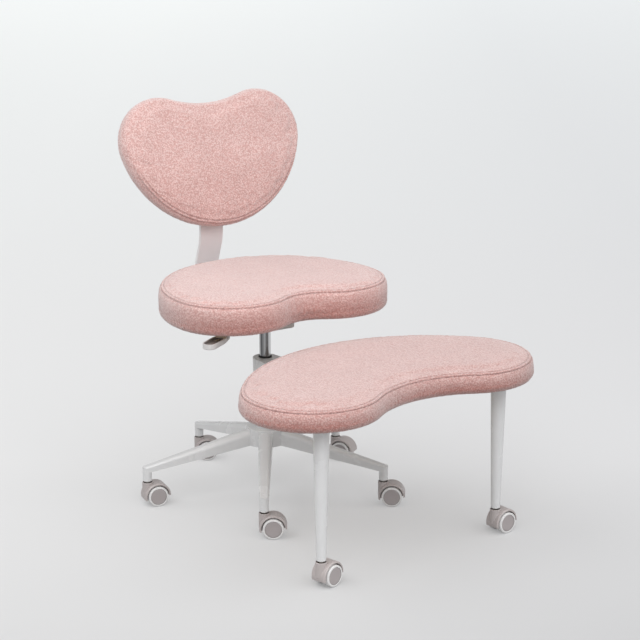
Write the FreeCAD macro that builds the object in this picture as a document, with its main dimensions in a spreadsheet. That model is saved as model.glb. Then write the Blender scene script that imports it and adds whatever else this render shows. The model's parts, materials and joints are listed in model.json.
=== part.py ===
import FreeCAD, Part
import math
import os
import Sketcher
from FreeCAD import Placement, Rotation, Vector

# Every size of the chair, in millimetres and degrees. The origin is on the gas column's axis at the
# floor, +Z is up, the seat faces -Y and the sitter's right hand is on the -X side.
SIZES = {
    # twin-wheel casters
    "wheel_radius": 25,
    "wheel_width": 14.5,
    "wheel_shoulder": 2.4,
    "disc_radius": 19.4,
    "disc_recess": 0.8,
    "axle_radius": 3,
    "caster_trail": 21,
    "web_thickness": 16,
    "wheel_side_gap": 0.5,
    "hood_gap": 3.5,
    "hood_wall": 4.3,
    "hood_width": 40,
    "hood_skirt": 17,
    "boss_radius": 13,
    "boss_top": 60,
    "boss_rim": 1.8,
    "boss_recess": 4,
    "stem_radius": 5,
    "stem_depth": 26,
    "collar_radius": 8,
    "socket_height": 64,
    "shank_radius": 5.5,
    "shank_length": 26,
    "running_gap": 0.05,
    # star base
    "star_radius": 303,
    "star_turn": -32.5,
    "hub_bottom": 130,
    "hub_height": 42,
    "hub_flat": 45,
    "arm_root_width": 36,
    "arm_root_height": 38.5,
    "arm_root_corner": 15,
    "arm_tip_width": 22.5,
    "arm_tip_height": 15.5,
    "arm_tip_corner": 5,
    "arm_tip_bottom": 86,
    "arm_wall": 2.5,
    "tongue_length": 55,
    "tongue_width": 24,
    "tongue_height": 13,
    # bolts, the same everywhere
    "bolt_radius": 3,
    "bolt_length": 14,
    "bolt_end_gap": 0.5,
    "bolt_head_radius": 5.5,
    "bolt_head_height": 4,
    # gas column
    "column_radius": 25,
    "column_wall": 2.5,
    "column_taper": 1.2,
    "column_foot": 4,
    "column_floor": 6,
    "column_top": 341,
    "cylinder_radius": 14,
    "cylinder_wall": 2.5,
    "cylinder_bottom": 205,
    "cylinder_top": 454,
    "gland_length": 25,
    "cone_length": 30,
    "cone_taper": 0.8,
    "rod_radius": 5,
    "rod_top": 330,
    "piston_length": 8,
    "bearing_radius": 14,
    "bearing_height": 8,
    "pin_radius": 4,
    "pin_length": 33,
    "guide_length": 76,
    "ring_radius": 16.2,
    "ring_height": 4,
    # leg rest
    "rest_turn": 4.8,
    "block_top": 350,
    "block_radius": 30.5,
    "block_half_width": 36,
    "block_reach": 60,
    "block_height": 32,
    "lid_thickness": 6,
    "bush_wall": 1.35,
    "sleeve_bottom": 264,
    "crank_start": 110,
    "crank_to_legs": 350,
    "arm_end_to_legs": 125,
    "rest_arm_depth": 28,
    "rest_arm_wall": 3,
    "rest_bolt_side": 20,
    "rest_bolt_inset": 25,
    "rest_bolt_pitch": 145,
    "rest_lobe_x": 223.8,
    "lobes_to_legs": 79,
    "rest_lobe_radius": 162.3,
    "rest_notch_ahead": 344,
    "rest_back_ahead": 168,
    "rest_seam": 424,
    "rest_side": 46,
    "rest_crown": 10,
    "leg_reach": 555,
    "leg_spacing": 520,
    "leg_top_radius": 18.5,
    "leg_foot_radius": 11,
    "flange_radius": 38,
    "flange_thickness": 4,
    "flange_screw_radius": 29,
    # boards inside the cushions
    "board_thickness": 12,
    "board_edge": 26,
    # seat
    "seat_lobe_x": 135.2,
    "seat_lobe_y": 68.2,
    "seat_lobe_radius": 150,
    "seat_notch_ahead": 204.4,
    "seat_back_ahead": -12.3,
    "seat_seam": 546.5,
    "seat_side": 68.5,
    "seat_crown": 10,
    "plate_width": 190,
    "plate_length": 170,
    "plate_thickness": 4,
    "plate_corner": 18,
    "housing_width": 84,
    "housing_length": 160,
    "housing_depth": 36,
    "housing_wall": 3,
    "socket_radius": 18.5,
    # lift lever
    "lever_turn": 212.6,
    "lever_radius": 4,
    "lever_pivot": 38,
    "lever_droop": 2,
    "lever_reach": 308,
    "lever_pin_gap": 0.3,
    "ear_spacing": 24,
    "ear_thickness": 3,
    "paddle_length": 103,
    "paddle_width": 33,
    "paddle_neck": 16,
    "paddle_thickness": 13,
    "paddle_rim": 3,
    "paddle_recess": 5,
    # backrest
    "back_lobe_x": 138.3,
    "back_lobe_radius": 114.7,
    "back_notch_ahead": 390,
    "back_foot_ahead": 34.4,
    "back_height": 860,
    "back_line": 162.03,
    "back_lean": 16.5,
    "back_depth": 48,
    "back_crown": 10,
    "bar_width": 64,
    "bar_thickness": 8,
    "bar_start": 92,
    "bar_bend_y": 245,
    "bar_bend_radius": 40,
    "bar_neck_height": 620.4,
    "bar_neck_radius": 120,
    "bar_top_drop": 10,
    "bar_standoff": 81,
    "bracket_width": 112,
    "bracket_height": 90,
    "bracket_drop": 18,
}


class Size:
    """A number that also knows the spreadsheet formula it comes from."""

    def __init__(self, value, text):
        self.value = value
        self.text = text

    def __add__(self, other):
        return Size(self.value + number(other), f"({self.text} + {formula(other)})")

    def __radd__(self, other):
        return Size(number(other) + self.value, f"({formula(other)} + {self.text})")

    def __sub__(self, other):
        return Size(self.value - number(other), f"({self.text} - {formula(other)})")

    def __rsub__(self, other):
        return Size(number(other) - self.value, f"({formula(other)} - {self.text})")

    def __mul__(self, other):
        return Size(self.value * number(other), f"({self.text} * {formula(other)})")

    def __rmul__(self, other):
        return Size(number(other) * self.value, f"({formula(other)} * {self.text})")

    def __truediv__(self, other):
        return Size(self.value / number(other), f"({self.text} / {formula(other)})")

    def __neg__(self):
        return Size(-self.value, f"(-1 * {self.text})")


def number(item):
    return item.value if isinstance(item, Size) else float(item)


def formula(item):
    return item.text if isinstance(item, Size) else f"{float(item):.6f}"


def sine(angle):
    return Size(math.sin(math.radians(number(angle))), f"sin({formula(angle)})")


def cosine(angle):
    return Size(math.cos(math.radians(number(angle))), f"cos({formula(angle)})")


def tangent(angle):
    return Size(math.tan(math.radians(number(angle))), f"tan({formula(angle)})")


def bind(item, prop, size):
    """Tie a property to the spreadsheet."""
    item.setExpression(prop, formula(size))


doc = FreeCAD.newDocument("cross_legged_chair")
sheet = doc.addObject("Spreadsheet::Sheet", "Sizes")
for row, (alias, amount) in enumerate(SIZES.items(), start=1):
    sheet.set(f"A{row}", alias)
    sheet.set(f"B{row}", str(amount))
    sheet.setAlias(f"B{row}", alias)
doc.recompute()
S = {alias: Size(float(amount), f"Sizes.{alias}") for alias, amount in SIZES.items()}
NODES = []


def node(item, label):
    """Name a finished sub-part; its label is the name of its file."""
    item.Label = label
    NODES.append(item)
    return item


def place(item, x=0, y=0, z=0, turn=0, axis=(0, 0, 1)):
    """Put an object somewhere, turned about one axis, with every number tied to the sheet."""
    item.Placement = Placement(
        Vector(number(x), number(y), number(z)), Rotation(Vector(*axis), number(turn) or 1e-9)
    )
    for letter, amount in (("x", x), ("y", y), ("z", z)):
        if isinstance(amount, Size):
            bind(item, f"Placement.Base.{letter}", amount)
    if isinstance(turn, Size):
        bind(item, "Placement.Rotation.Angle", turn)
    return item


def copy_of(item, name, x=0, y=0, z=0, turn=0, axis=(0, 0, 1)):
    link = doc.addObject("App::Link", name)
    link.LinkedObject = item
    return place(link, x, y, z, turn, axis)


def group(name, items):
    """Several loose solids that count as one sub-part or one cutting tool."""
    compound = doc.addObject("Part::Compound", name)
    compound.Links = items
    return compound


def cut(name, base, tool):
    result = doc.addObject("Part::Cut", name)
    result.Base = base
    result.Tool = tool
    return result


def fuse(name, items):
    result = doc.addObject("Part::MultiFuse", name)
    result.Shapes = items
    return result


def box(name, x, y, z, length, width, height, turn=0, axis=(0, 0, 1)):
    item = doc.addObject("Part::Box", name)
    bind(item, "Length", length)
    bind(item, "Width", width)
    bind(item, "Height", height)
    return place(item, x, y, z, turn, axis)


def rod(name, radius, height, x=0, y=0, z=0, turn=0, axis=(0, 0, 1)):
    item = doc.addObject("Part::Cylinder", name)
    bind(item, "Radius", radius)
    bind(item, "Height", height)
    return place(item, x, y, z, turn, axis)


def new_body(name):
    return doc.addObject("PartDesign::Body", name)


def sketch_on(body, plane_name, offset=0):
    sketch = body.newObject("Sketcher::SketchObject", body.Name + "_sketch")
    plane = [f for f in body.Origin.OriginFeatures if f.Role == plane_name][0]
    sketch.AttachmentSupport = [(plane, "")]
    sketch.MapMode = "FlatFace"
    sketch.AttachmentOffset = Placement(Vector(0, 0, number(offset)), Rotation())
    if isinstance(offset, Size):
        bind(sketch, "AttachmentOffset.Base.z", offset)
    return sketch


def rule(sketch, kind, *refs, size=None):
    """One sketch constraint; a size makes it a driving one."""
    if size is None:
        return sketch.addConstraint(Sketcher.Constraint(kind, *refs))
    index = sketch.addConstraint(Sketcher.Constraint(kind, *refs, number(size)))
    if isinstance(size, Size):
        bind(sketch, f"Constraints[{index}]", size)
    return index


def pin(sketch, geo, point, x, y):
    rule(sketch, "DistanceX", -1, 1, geo, point, size=x)
    rule(sketch, "DistanceY", -1, 1, geo, point, size=y)


def polygon(sketch, corners):
    """A closed outline of straight lines, each corner tied to the sheet."""
    first = sketch.GeometryCount
    spots = [Vector(number(x), number(y), 0) for x, y in corners]
    count = len(spots)
    for i in range(count):
        sketch.addGeometry(Part.LineSegment(spots[i], spots[(i + 1) % count]), False)
    for i in range(count):
        rule(sketch, "Coincident", first + i, 2, first + (i + 1) % count, 1)
    for i, (x, y) in enumerate(corners):
        pin(sketch, first + i, 1, x, y)
    return sketch


def circle(sketch, x, y, radius):
    index = sketch.addGeometry(
        Part.Circle(Vector(number(x), number(y), 0), Vector(0, 0, 1), number(radius)), False
    )
    pin(sketch, index, 3, x, y)
    rule(sketch, "Radius", index, size=radius)
    return sketch


def round_ended(sketch, points, centre_x, radius):
    """A polyline mirrored about the x axis and closed by an arc at its far end."""
    upper = [Vector(number(x), number(y), 0) for x, y in points]
    lower = [Vector(v.x, -v.y, 0) for v in upper]
    chain = lower[::-1] + upper
    sizes = [(x, -1 * y if isinstance(y, Size) else -y) for x, y in points][::-1] + list(points)
    count = len(chain)
    for i in range(count - 1):
        sketch.addGeometry(Part.LineSegment(chain[i], chain[i + 1]), False)
    bow = math.atan2(chain[-1].y, chain[-1].x - number(centre_x))
    ring = Part.Circle(Vector(number(centre_x), 0, 0), Vector(0, 0, 1), number(radius))
    arc = sketch.addGeometry(Part.ArcOfCircle(ring, -bow, bow), False)
    for i in range(count - 2):
        rule(sketch, "Coincident", i, 2, i + 1, 1)
    rule(sketch, "Coincident", count - 2, 2, arc, 2)
    rule(sketch, "Coincident", arc, 1, 0, 1)
    for i in range(count - 1):
        pin(sketch, i, 1, *sizes[i])
    pin(sketch, count - 2, 2, *sizes[-1])
    rule(sketch, "DistanceX", -1, 1, arc, 3, size=centre_x)
    return sketch


def kidney(sketch, lobe_x, lobe_y, lobe_radius, notch_ahead, back_ahead, inset):
    """Four tangent arcs: a notch facing -y, two round lobes and a wide back. Inset shrinks it evenly."""
    xl, yl, rl = number(lobe_x), number(lobe_y), number(lobe_radius)
    cn, cb, off = number(notch_ahead), number(back_ahead), number(inset)
    up = Vector(0, 0, 1)
    notch_angle = math.atan2(cn, xl)
    back_angle = math.atan2(cb, xl)
    notch = Part.Circle(Vector(0, yl - cn, 0), up, math.hypot(xl, cn) - rl + off)
    right = Part.Circle(Vector(xl, yl, 0), up, rl - off)
    back = Part.Circle(Vector(0, yl - cb, 0), up, math.hypot(xl, cb) + rl - off)
    left = Part.Circle(Vector(-xl, yl, 0), up, rl - off)
    sketch.addGeometry(Part.ArcOfCircle(notch, notch_angle, math.pi - notch_angle), False)
    sketch.addGeometry(Part.ArcOfCircle(right, math.pi + notch_angle, 2 * math.pi + back_angle), False)
    sketch.addGeometry(Part.ArcOfCircle(back, back_angle, math.pi - back_angle), False)
    sketch.addGeometry(Part.ArcOfCircle(left, math.pi - back_angle, 2 * math.pi - notch_angle), False)
    rule(sketch, "Tangent", 0, 1, 1, 1)
    rule(sketch, "Tangent", 1, 2, 2, 1)
    rule(sketch, "Tangent", 2, 2, 3, 1)
    rule(sketch, "Tangent", 3, 2, 0, 2)
    pin(sketch, 0, 3, 0, lobe_y - notch_ahead)
    pin(sketch, 1, 3, lobe_x, lobe_y)
    pin(sketch, 2, 3, 0, lobe_y - back_ahead)
    rule(sketch, "DistanceX", -1, 1, 3, 3, size=-1 * lobe_x)
    rule(sketch, "Radius", 1, size=lobe_radius - inset)
    return sketch


def pad(body, sketch, length, symmetric=False, reverse=False):
    feature = body.newObject("PartDesign::Pad", body.Name + "_pad")
    feature.Profile = sketch
    bind(feature, "Length", length)
    feature.Reversed = reverse
    if symmetric:
        feature.SideType = "Symmetric"
    return feature


def pocket(body, sketch, length, symmetric=False, reverse=False):
    feature = body.newObject("PartDesign::Pocket", body.Name + "_pocket")
    feature.Profile = sketch
    bind(feature, "Length", length)
    feature.Reversed = reverse
    if symmetric:
        feature.SideType = "Symmetric"
    return feature


def loft(body, sections, kind="PartDesign::AdditiveLoft"):
    feature = body.newObject(kind, body.Name + "_loft")
    feature.Profile = sections[0]
    feature.Sections = [(section, [""]) for section in sections[1:]]
    feature.Ruled = True
    return feature


def turned(name, profile, plane="XZ_Plane"):
    """A solid of revolution; the profile is (radius, height) pairs."""
    body = new_body(name)
    sketch = polygon(sketch_on(body, plane), profile)
    feature = body.newObject("PartDesign::Revolution", name + "_turn")
    feature.Profile = sketch
    feature.ReferenceAxis = (sketch, ["V_Axis"])
    feature.Angle = 360
    return body


def fillet(body, radius, chosen):
    """Round the edges of the body's last feature that the test picks."""
    doc.recompute()
    base = body.Tip
    names = [f"Edge{i}" for i, edge in enumerate(base.Shape.Edges, start=1) if chosen(edge)]
    if not names:
        raise RuntimeError(f"no edge to round on {body.Name}")
    feature = body.newObject("PartDesign::Fillet", body.Name + "_fillet")
    feature.Base = (base, names)
    bind(feature, "Radius", radius)
    return feature


def chamfer(body, size, chosen):
    """Bevel the edges of the body's last feature that the test picks."""
    doc.recompute()
    base = body.Tip
    names = [f"Edge{i}" for i, edge in enumerate(base.Shape.Edges, start=1) if chosen(edge)]
    if not names:
        raise RuntimeError(f"no edge to bevel on {body.Name}")
    feature = body.newObject("PartDesign::Chamfer", body.Name + "_chamfer")
    feature.Base = (base, names)
    bind(feature, "Size", size)
    return feature


def circle_edge(radius):
    """Picks arcs and circles of one radius."""

    def chosen(edge):
        return isinstance(edge.Curve, Part.Circle) and abs(edge.Curve.Radius - number(radius)) < 0.01

    return chosen


gap = S["running_gap"]

# Bolt and the hole it needs: the head hangs below z = 0, the shank goes up.
bolt = turned(
    "bolt",
    [
        (0, -1 * S["bolt_head_height"]),
        (S["bolt_head_radius"] - 1.2, -1 * S["bolt_head_height"]),
        (S["bolt_head_radius"], -1 * S["bolt_head_height"] + 1.2),
        (S["bolt_head_radius"], 0),
        (S["bolt_radius"], 0),
        (S["bolt_radius"], S["bolt_length"]),
        (0, S["bolt_length"]),
    ],
)
bolt_hole = rod("bolt_hole", S["bolt_radius"] + gap, S["bolt_length"] + S["bolt_end_gap"])


def bolts_at(name, spots):
    """The bolts of one group, and the matching tool that drills for them."""
    bolts = [copy_of(bolt, f"{name}_{i}", *spot) for i, spot in enumerate(spots)]
    holes = [copy_of(bolt_hole, f"{name}_hole_{i}", *spot) for i, spot in enumerate(spots)]
    return bolts, group(name + "_holes", holes)


# Casters: all five pieces in one local frame, stem axis at x = y = 0, wheels trailing along +x.
wheel_inner = S["web_thickness"] / 2 + S["wheel_side_gap"]
wheel_outer = wheel_inner + S["wheel_width"]
axle_end = wheel_outer - 3.6
wheel = turned(
    "wheel",
    [
        (S["axle_radius"] + gap, wheel_inner),
        (S["wheel_radius"], wheel_inner),
        (S["wheel_radius"], wheel_outer),
        (S["disc_radius"] + 0.5, wheel_outer),
        (S["disc_radius"], wheel_outer - S["disc_recess"]),
        (0, wheel_outer - S["disc_recess"] + 0.4),
        (0, wheel_outer - 3.2),
        (S["axle_radius"] + gap, wheel_outer - 3.2),
    ],
    "XY_Plane",
)
fillet(wheel, S["wheel_shoulder"], circle_edge(S["wheel_radius"]))

axle = turned(
    "axle",
    [(0, -1 * axle_end), (S["axle_radius"], -1 * axle_end), (S["axle_radius"], axle_end), (0, axle_end)],
    "XY_Plane",
)

hood_inner = S["wheel_radius"] + S["hood_gap"]
hood_outer = hood_inner + S["hood_wall"]
hood_body = new_body("hood_body")
shell = sketch_on(hood_body, "XZ_Plane")
dip = math.asin((SIZES["wheel_radius"] - SIZES["hood_skirt"]) / number(hood_outer))
ring = Part.Circle(Vector(SIZES["caster_trail"], SIZES["wheel_radius"], 0), Vector(0, 0, 1), number(hood_outer))
shell.addGeometry(Part.ArcOfCircle(ring, 0, math.pi + dip), False)
front = shell.Geometry[0].EndPoint
rear = shell.Geometry[0].StartPoint
shell.addGeometry(Part.LineSegment(front, rear), False)
rule(shell, "Coincident", 0, 2, 1, 1)
rule(shell, "Coincident", 1, 2, 0, 1)
pin(shell, 0, 3, S["caster_trail"], S["wheel_radius"])
rule(shell, "Radius", 0, size=hood_outer)
rule(shell, "DistanceY", -1, 1, 0, 1, size=S["wheel_radius"])
rule(shell, "DistanceY", -1, 1, 0, 2, size=S["hood_skirt"])
pad(hood_body, shell, S["hood_width"], symmetric=True)
chamfer(hood_body, 2.4, circle_edge(hood_outer))
keel = circle(sketch_on(hood_body, "XZ_Plane"), S["caster_trail"], S["wheel_radius"], 9)
pad(hood_body, keel, S["web_thickness"], symmetric=True)
boss = circle(sketch_on(hood_body, "XY_Plane", S["wheel_radius"]), 0, 0, S["boss_radius"])
pad(hood_body, boss, S["boss_top"] - S["wheel_radius"])
chamfer(hood_body, 0.8, lambda e: circle_edge(S["boss_radius"])(e) and e.CenterOfMass.z > SIZES["boss_top"] - 1)
well_depth = S["hood_width"] / 2
wells = [
    rod("well_left", hood_inner, well_depth, S["caster_trail"], -1 * S["web_thickness"] / 2, S["wheel_radius"], 90, (1, 0, 0)),
    rod("well_right", hood_inner, well_depth, S["caster_trail"], S["web_thickness"] / 2, S["wheel_radius"], -90, (1, 0, 0)),
]
axle_bore = rod(
    "axle_bore", S["axle_radius"], S["hood_width"], S["caster_trail"], -1 * S["hood_width"] / 2, S["wheel_radius"], -90, (1, 0, 0)
)
stem_bore = rod("stem_bore", S["stem_radius"] + gap, S["stem_depth"] + 10, 0, 0, S["boss_top"] - S["stem_depth"] - 0.5)
boss_cup = rod("boss_cup", S["boss_radius"] - S["boss_rim"], 10, 0, 0, S["boss_top"] - S["boss_recess"])
hood = cut("hood", hood_body, group("hood_tools", wells + [axle_bore, stem_bore, boss_cup]))

stem = turned(
    "stem",
    [
        (0, S["boss_top"] - S["stem_depth"]),
        (S["stem_radius"], S["boss_top"] - S["stem_depth"]),
        (S["stem_radius"], S["boss_top"] - S["boss_recess"] + 0.3),
        (S["collar_radius"], S["boss_top"] - S["boss_recess"] + 0.3),
        (S["collar_radius"], S["socket_height"]),
        (S["shank_radius"], S["socket_height"]),
        (S["shank_radius"], S["socket_height"] + S["shank_length"]),
        (0, S["socket_height"] + S["shank_length"]),
    ],
)

# Where each stem stands and which way its wheels trail, as in the photograph.
rest_cos = cosine(S["rest_turn"])
rest_sin = sine(S["rest_turn"])


def rest_point(x, y):
    """A point of the leg rest's own frame, turned with the leg rest."""
    return x * rest_cos - y * rest_sin, x * rest_sin + y * rest_cos


arm_turn = [S["star_turn"] - 90 + 72 * k for k in range(5)]
stem_spots = [(S["star_radius"] * cosine(a), S["star_radius"] * sine(a)) for a in arm_turn]
stem_spots.append(rest_point(S["leg_spacing"] / -2, -1 * S["leg_reach"]))
stem_spots.append(rest_point(S["leg_spacing"] / 2, -1 * S["leg_reach"]))
TRAIL_HEADINGS = [-31.5, -36.5, -56.5, -29.5, -9.5, 15.5, 5.5]
for index, ((x, y), heading) in enumerate(zip(stem_spots, TRAIL_HEADINGS), start=1):
    name = f"caster_{index}"
    hub_x = x + S["caster_trail"] * math.cos(math.radians(heading))
    hub_y = y + S["caster_trail"] * math.sin(math.radians(heading))
    node(copy_of(hood, name + "_hood", x, y, 0, heading), name + "_hood")
    node(copy_of(axle, name + "_axle", hub_x, hub_y, S["wheel_radius"], heading), name + "_axle")
    node(copy_of(wheel, name + "_wheel_left", hub_x, hub_y, S["wheel_radius"], heading), name + "_wheel_left")
    node(
        copy_of(wheel, name + "_wheel_right", hub_x, hub_y, S["wheel_radius"], heading + 180),
        name + "_wheel_right",
    )
stems = [copy_of(stem, f"stem_{i}", x, y) for i, (x, y) in enumerate(stem_spots)]
node(group("base_stems", stems[:5]), "base_caster_stems")
node(group("rest_stems", stems[5:]), "rest_caster_stems")

# Star base. The hub and one arm are drawn with the arm along +x and then turned into place.
arm_drop = (S["hub_bottom"] - S["arm_tip_bottom"]) / (S["star_radius"] - S["hub_flat"])
arm_top_drop = (S["hub_bottom"] + S["arm_root_height"] - S["arm_tip_bottom"] - S["arm_tip_height"]) / (
    S["star_radius"] - S["hub_flat"]
)
arm_narrowing = (S["arm_root_width"] - S["arm_tip_width"]) / (S["star_radius"] - S["hub_flat"])
corner_narrowing = (S["arm_root_corner"] - S["arm_tip_corner"]) / (S["star_radius"] - S["hub_flat"])


def arm_section(body, radius, wall):
    """The arm's cross-section at one radius: flat below, round-shouldered above."""
    run = radius - S["hub_flat"]
    half = (S["arm_root_width"] - arm_narrowing * run) / 2 - wall
    low = S["hub_bottom"] - arm_drop * run + wall
    high = S["hub_bottom"] + S["arm_root_height"] - arm_top_drop * run - wall
    corner = S["arm_root_corner"] - corner_narrowing * run - wall
    sketch = sketch_on(body, "YZ_Plane", radius)
    h, lo, hi, c = number(half), number(low), number(high), number(corner)
    up = Vector(0, 0, 1)
    sketch.addGeometry(Part.LineSegment(Vector(-h, lo, 0), Vector(h, lo, 0)), False)
    sketch.addGeometry(Part.LineSegment(Vector(h, lo, 0), Vector(h, hi - c, 0)), False)
    sketch.addGeometry(Part.ArcOfCircle(Part.Circle(Vector(h - c, hi - c, 0), up, c), 0, math.pi / 2), False)
    sketch.addGeometry(Part.LineSegment(Vector(h - c, hi, 0), Vector(c - h, hi, 0)), False)
    sketch.addGeometry(Part.ArcOfCircle(Part.Circle(Vector(c - h, hi - c, 0), up, c), math.pi / 2, math.pi), False)
    sketch.addGeometry(Part.LineSegment(Vector(-h, hi - c, 0), Vector(-h, lo, 0)), False)
    rule(sketch, "Coincident", 0, 2, 1, 1)
    rule(sketch, "Coincident", 1, 2, 2, 1)
    rule(sketch, "Coincident", 2, 2, 3, 1)
    rule(sketch, "Coincident", 3, 2, 4, 1)
    rule(sketch, "Coincident", 4, 2, 5, 1)
    rule(sketch, "Coincident", 5, 2, 0, 1)
    pin(sketch, 0, 1, -1 * half, low)
    pin(sketch, 0, 2, half, low)
    pin(sketch, 2, 1, half, high - corner)
    pin(sketch, 2, 2, half - corner, high)
    pin(sketch, 4, 1, corner - half, high)
    pin(sketch, 4, 2, -1 * half, high - corner)
    rule(sketch, "DistanceX", -1, 1, 2, 3, size=half - corner)
    rule(sketch, "DistanceX", -1, 1, 4, 3, size=corner - half)
    return sketch


arm_body = new_body("arm_body")
loft(arm_body, [arm_section(arm_body, S["hub_flat"], 0), arm_section(arm_body, S["star_radius"] + S["arm_tip_width"], 0)])
tip = S["arm_tip_width"] / 2
end_trim = sketch_on(arm_body, "XY_Plane", S["hub_bottom"])
far = S["star_radius"] + 4 * tip
trim_spots = [
    (S["star_radius"], tip),
    (S["star_radius"], 2 * tip),
    (far, 2 * tip),
    (far, -2 * tip),
    (S["star_radius"], -2 * tip),
    (S["star_radius"], -1 * tip),
]
trim_points = [Vector(number(x), number(y), 0) for x, y in trim_spots]
for i in range(5):
    end_trim.addGeometry(Part.LineSegment(trim_points[i], trim_points[i + 1]), False)
tip_ring = Part.Circle(Vector(SIZES["star_radius"], 0, 0), Vector(0, 0, 1), number(tip))
end_trim.addGeometry(Part.ArcOfCircle(tip_ring, -math.pi / 2, math.pi / 2), False)
for i in range(5):
    rule(end_trim, "Coincident", i, 2, i + 1, 1)
rule(end_trim, "Coincident", 5, 2, 0, 1)
for i in range(5):
    pin(end_trim, i, 1, *trim_spots[i])
pin(end_trim, 4, 2, *trim_spots[5])
rule(end_trim, "DistanceX", -1, 1, 5, 3, size=S["star_radius"])
pocket(arm_body, end_trim, S["hub_bottom"])
tube = circle(sketch_on(arm_body, "XY_Plane", S["socket_height"]), S["star_radius"], 0, tip - 0.25)
pad(arm_body, tube, S["arm_tip_bottom"] + 3 - S["socket_height"])
loft(
    arm_body,
    [
        arm_section(arm_body, S["hub_flat"] - 2, S["arm_wall"]),
        arm_section(arm_body, S["star_radius"] - 2.4 * tip, S["arm_wall"]),
    ],
    "PartDesign::SubtractiveLoft",
)
socket = circle(sketch_on(arm_body, "XY_Plane", S["socket_height"]), S["star_radius"], 0, S["shank_radius"])
pocket(arm_body, socket, S["shank_length"] + 0.5, reverse=True)

tilt = Size(math.degrees(math.atan(number(arm_drop))), f"atan({formula(arm_drop)})")
arm_bolt_spots = []
for fraction in (0.3, 0.75):
    run = S["tongue_length"] * fraction
    arm_bolt_spots.append((S["hub_flat"] + run, 0, S["hub_bottom"] - arm_drop * run - 0.02, tilt, (0, 1, 0)))
arm_bolts, arm_holes = bolts_at("arm_bolt", arm_bolt_spots)
bolt_pair = group("arm_bolt_pair", arm_bolts)
arm = cut("arm", arm_body, arm_holes)
for k in range(5):
    node(copy_of(arm, f"base_arm_{k + 1}", turn=arm_turn[k]), f"base_arm_{k + 1}")
node(group("all_arm_bolts", [copy_of(bolt_pair, f"bolt_pair_{k}", turn=arm_turn[k]) for k in range(5)]), "arm_bolts")

hub_body = new_body("hub_body")
half_flat = S["arm_root_width"] / 2 + 1
hub_corners = []
for k in range(5):
    c = math.cos(math.radians(72 * k))
    s = math.sin(math.radians(72 * k))
    for side in (-1, 1):
        hub_corners.append((S["hub_flat"] * c - half_flat * (side * s), S["hub_flat"] * s + half_flat * (side * c)))
pad(hub_body, polygon(sketch_on(hub_body, "XY_Plane", S["hub_bottom"]), hub_corners), S["hub_height"])
fillet(hub_body, 2.5, lambda e: abs(e.BoundBox.ZMin - SIZES["hub_bottom"] - SIZES["hub_height"]) < 0.01)
tongue_low = S["hub_bottom"] + S["arm_wall"] + 0.4
tongue = polygon(
    sketch_on(hub_body, "XZ_Plane"),
    [
        (S["hub_flat"] - 12, tongue_low),
        (S["hub_flat"], tongue_low),
        (S["hub_flat"] + S["tongue_length"], tongue_low - arm_drop * S["tongue_length"]),
        (S["hub_flat"] + S["tongue_length"], tongue_low + S["tongue_height"]),
        (S["hub_flat"] - 12, tongue_low + S["tongue_height"]),
    ],
)
first_tongue = pad(hub_body, tongue, S["tongue_width"], symmetric=True)
ring_of_tongues = hub_body.newObject("PartDesign::PolarPattern", "tongues")
ring_of_tongues.Originals = [first_tongue]
ring_of_tongues.Axis = ([f for f in hub_body.Origin.OriginFeatures if f.Role == "Z_Axis"][0], [""])
ring_of_tongues.Angle = 360
ring_of_tongues.Occurrences = 5
hub_body.Tip = ring_of_tongues
cone = doc.addObject("Part::Cone", "hub_cone")
bind(cone, "Radius1", S["column_radius"] - S["column_taper"])
bind(cone, "Radius2", S["column_radius"])
bind(cone, "Height", S["hub_height"])
place(cone, z=S["hub_bottom"])
hub_holes = [copy_of(arm_holes, f"hub_holes_{k}", turn=72 * k) for k in range(5)]
hub = cut("hub", hub_body, group("hub_tools", [cone] + hub_holes))
place(hub, turn=arm_turn[0])
node(hub, "base_hub")

# Gas column.
foot_radius = S["column_radius"] - S["column_taper"]
column_low = S["hub_bottom"] - S["column_foot"]
column_in = S["column_radius"] - S["column_wall"]
neck = S["rod_radius"] - 0.5
column_floor_top = column_low + S["column_floor"]
node(
    turned(
        "column_tube",
        [
            (neck + 0.1, column_low),
            (foot_radius, column_low),
            (foot_radius, S["hub_bottom"]),
            (S["column_radius"], S["hub_bottom"] + S["hub_height"]),
            (S["column_radius"], S["column_top"]),
            (column_in, S["column_top"]),
            (column_in, S["hub_bottom"] + S["hub_height"]),
            (foot_radius - S["column_wall"], column_floor_top),
            (neck + 0.1, column_floor_top),
        ],
    ),
    "column_tube",
)
bore = S["cylinder_radius"] + 0.06
ring_in = S["ring_radius"] - 0.4
node(
    turned(
        "column_guide",
        [
            (bore, S["column_top"] - S["guide_length"]),
            (column_in - 0.05, S["column_top"] - S["guide_length"]),
            (column_in - 0.05, S["column_top"]),
            (ring_in, S["column_top"]),
            (ring_in, S["block_top"] + 0.3),
            (S["ring_radius"], S["block_top"] + 0.3),
            (S["ring_radius"], S["block_top"] + S["ring_height"] - 1),
            (S["ring_radius"] - 0.8, S["block_top"] + S["ring_height"]),
            (bore, S["block_top"] + S["ring_height"]),
        ],
    ),
    "column_guide",
)
rod_shoulder = column_floor_top + S["bearing_height"] + 0.3
node(
    turned(
        "piston_rod",
        [
            (0, column_low - 5),
            (neck, column_low - 5),
            (neck, column_low - 3),
            (neck - 1, column_low - 3),
            (neck - 1, column_low - 1.2),
            (neck, column_low - 1.2),
            (neck, rod_shoulder),
            (S["rod_radius"], rod_shoulder),
            (S["rod_radius"], S["rod_top"] - S["piston_length"]),
            (S["cylinder_radius"] - S["cylinder_wall"] - 0.1, S["rod_top"] - S["piston_length"]),
            (S["cylinder_radius"] - S["cylinder_wall"] - 0.1, S["rod_top"]),
            (0, S["rod_top"]),
        ],
    ),
    "piston_rod",
)
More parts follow.
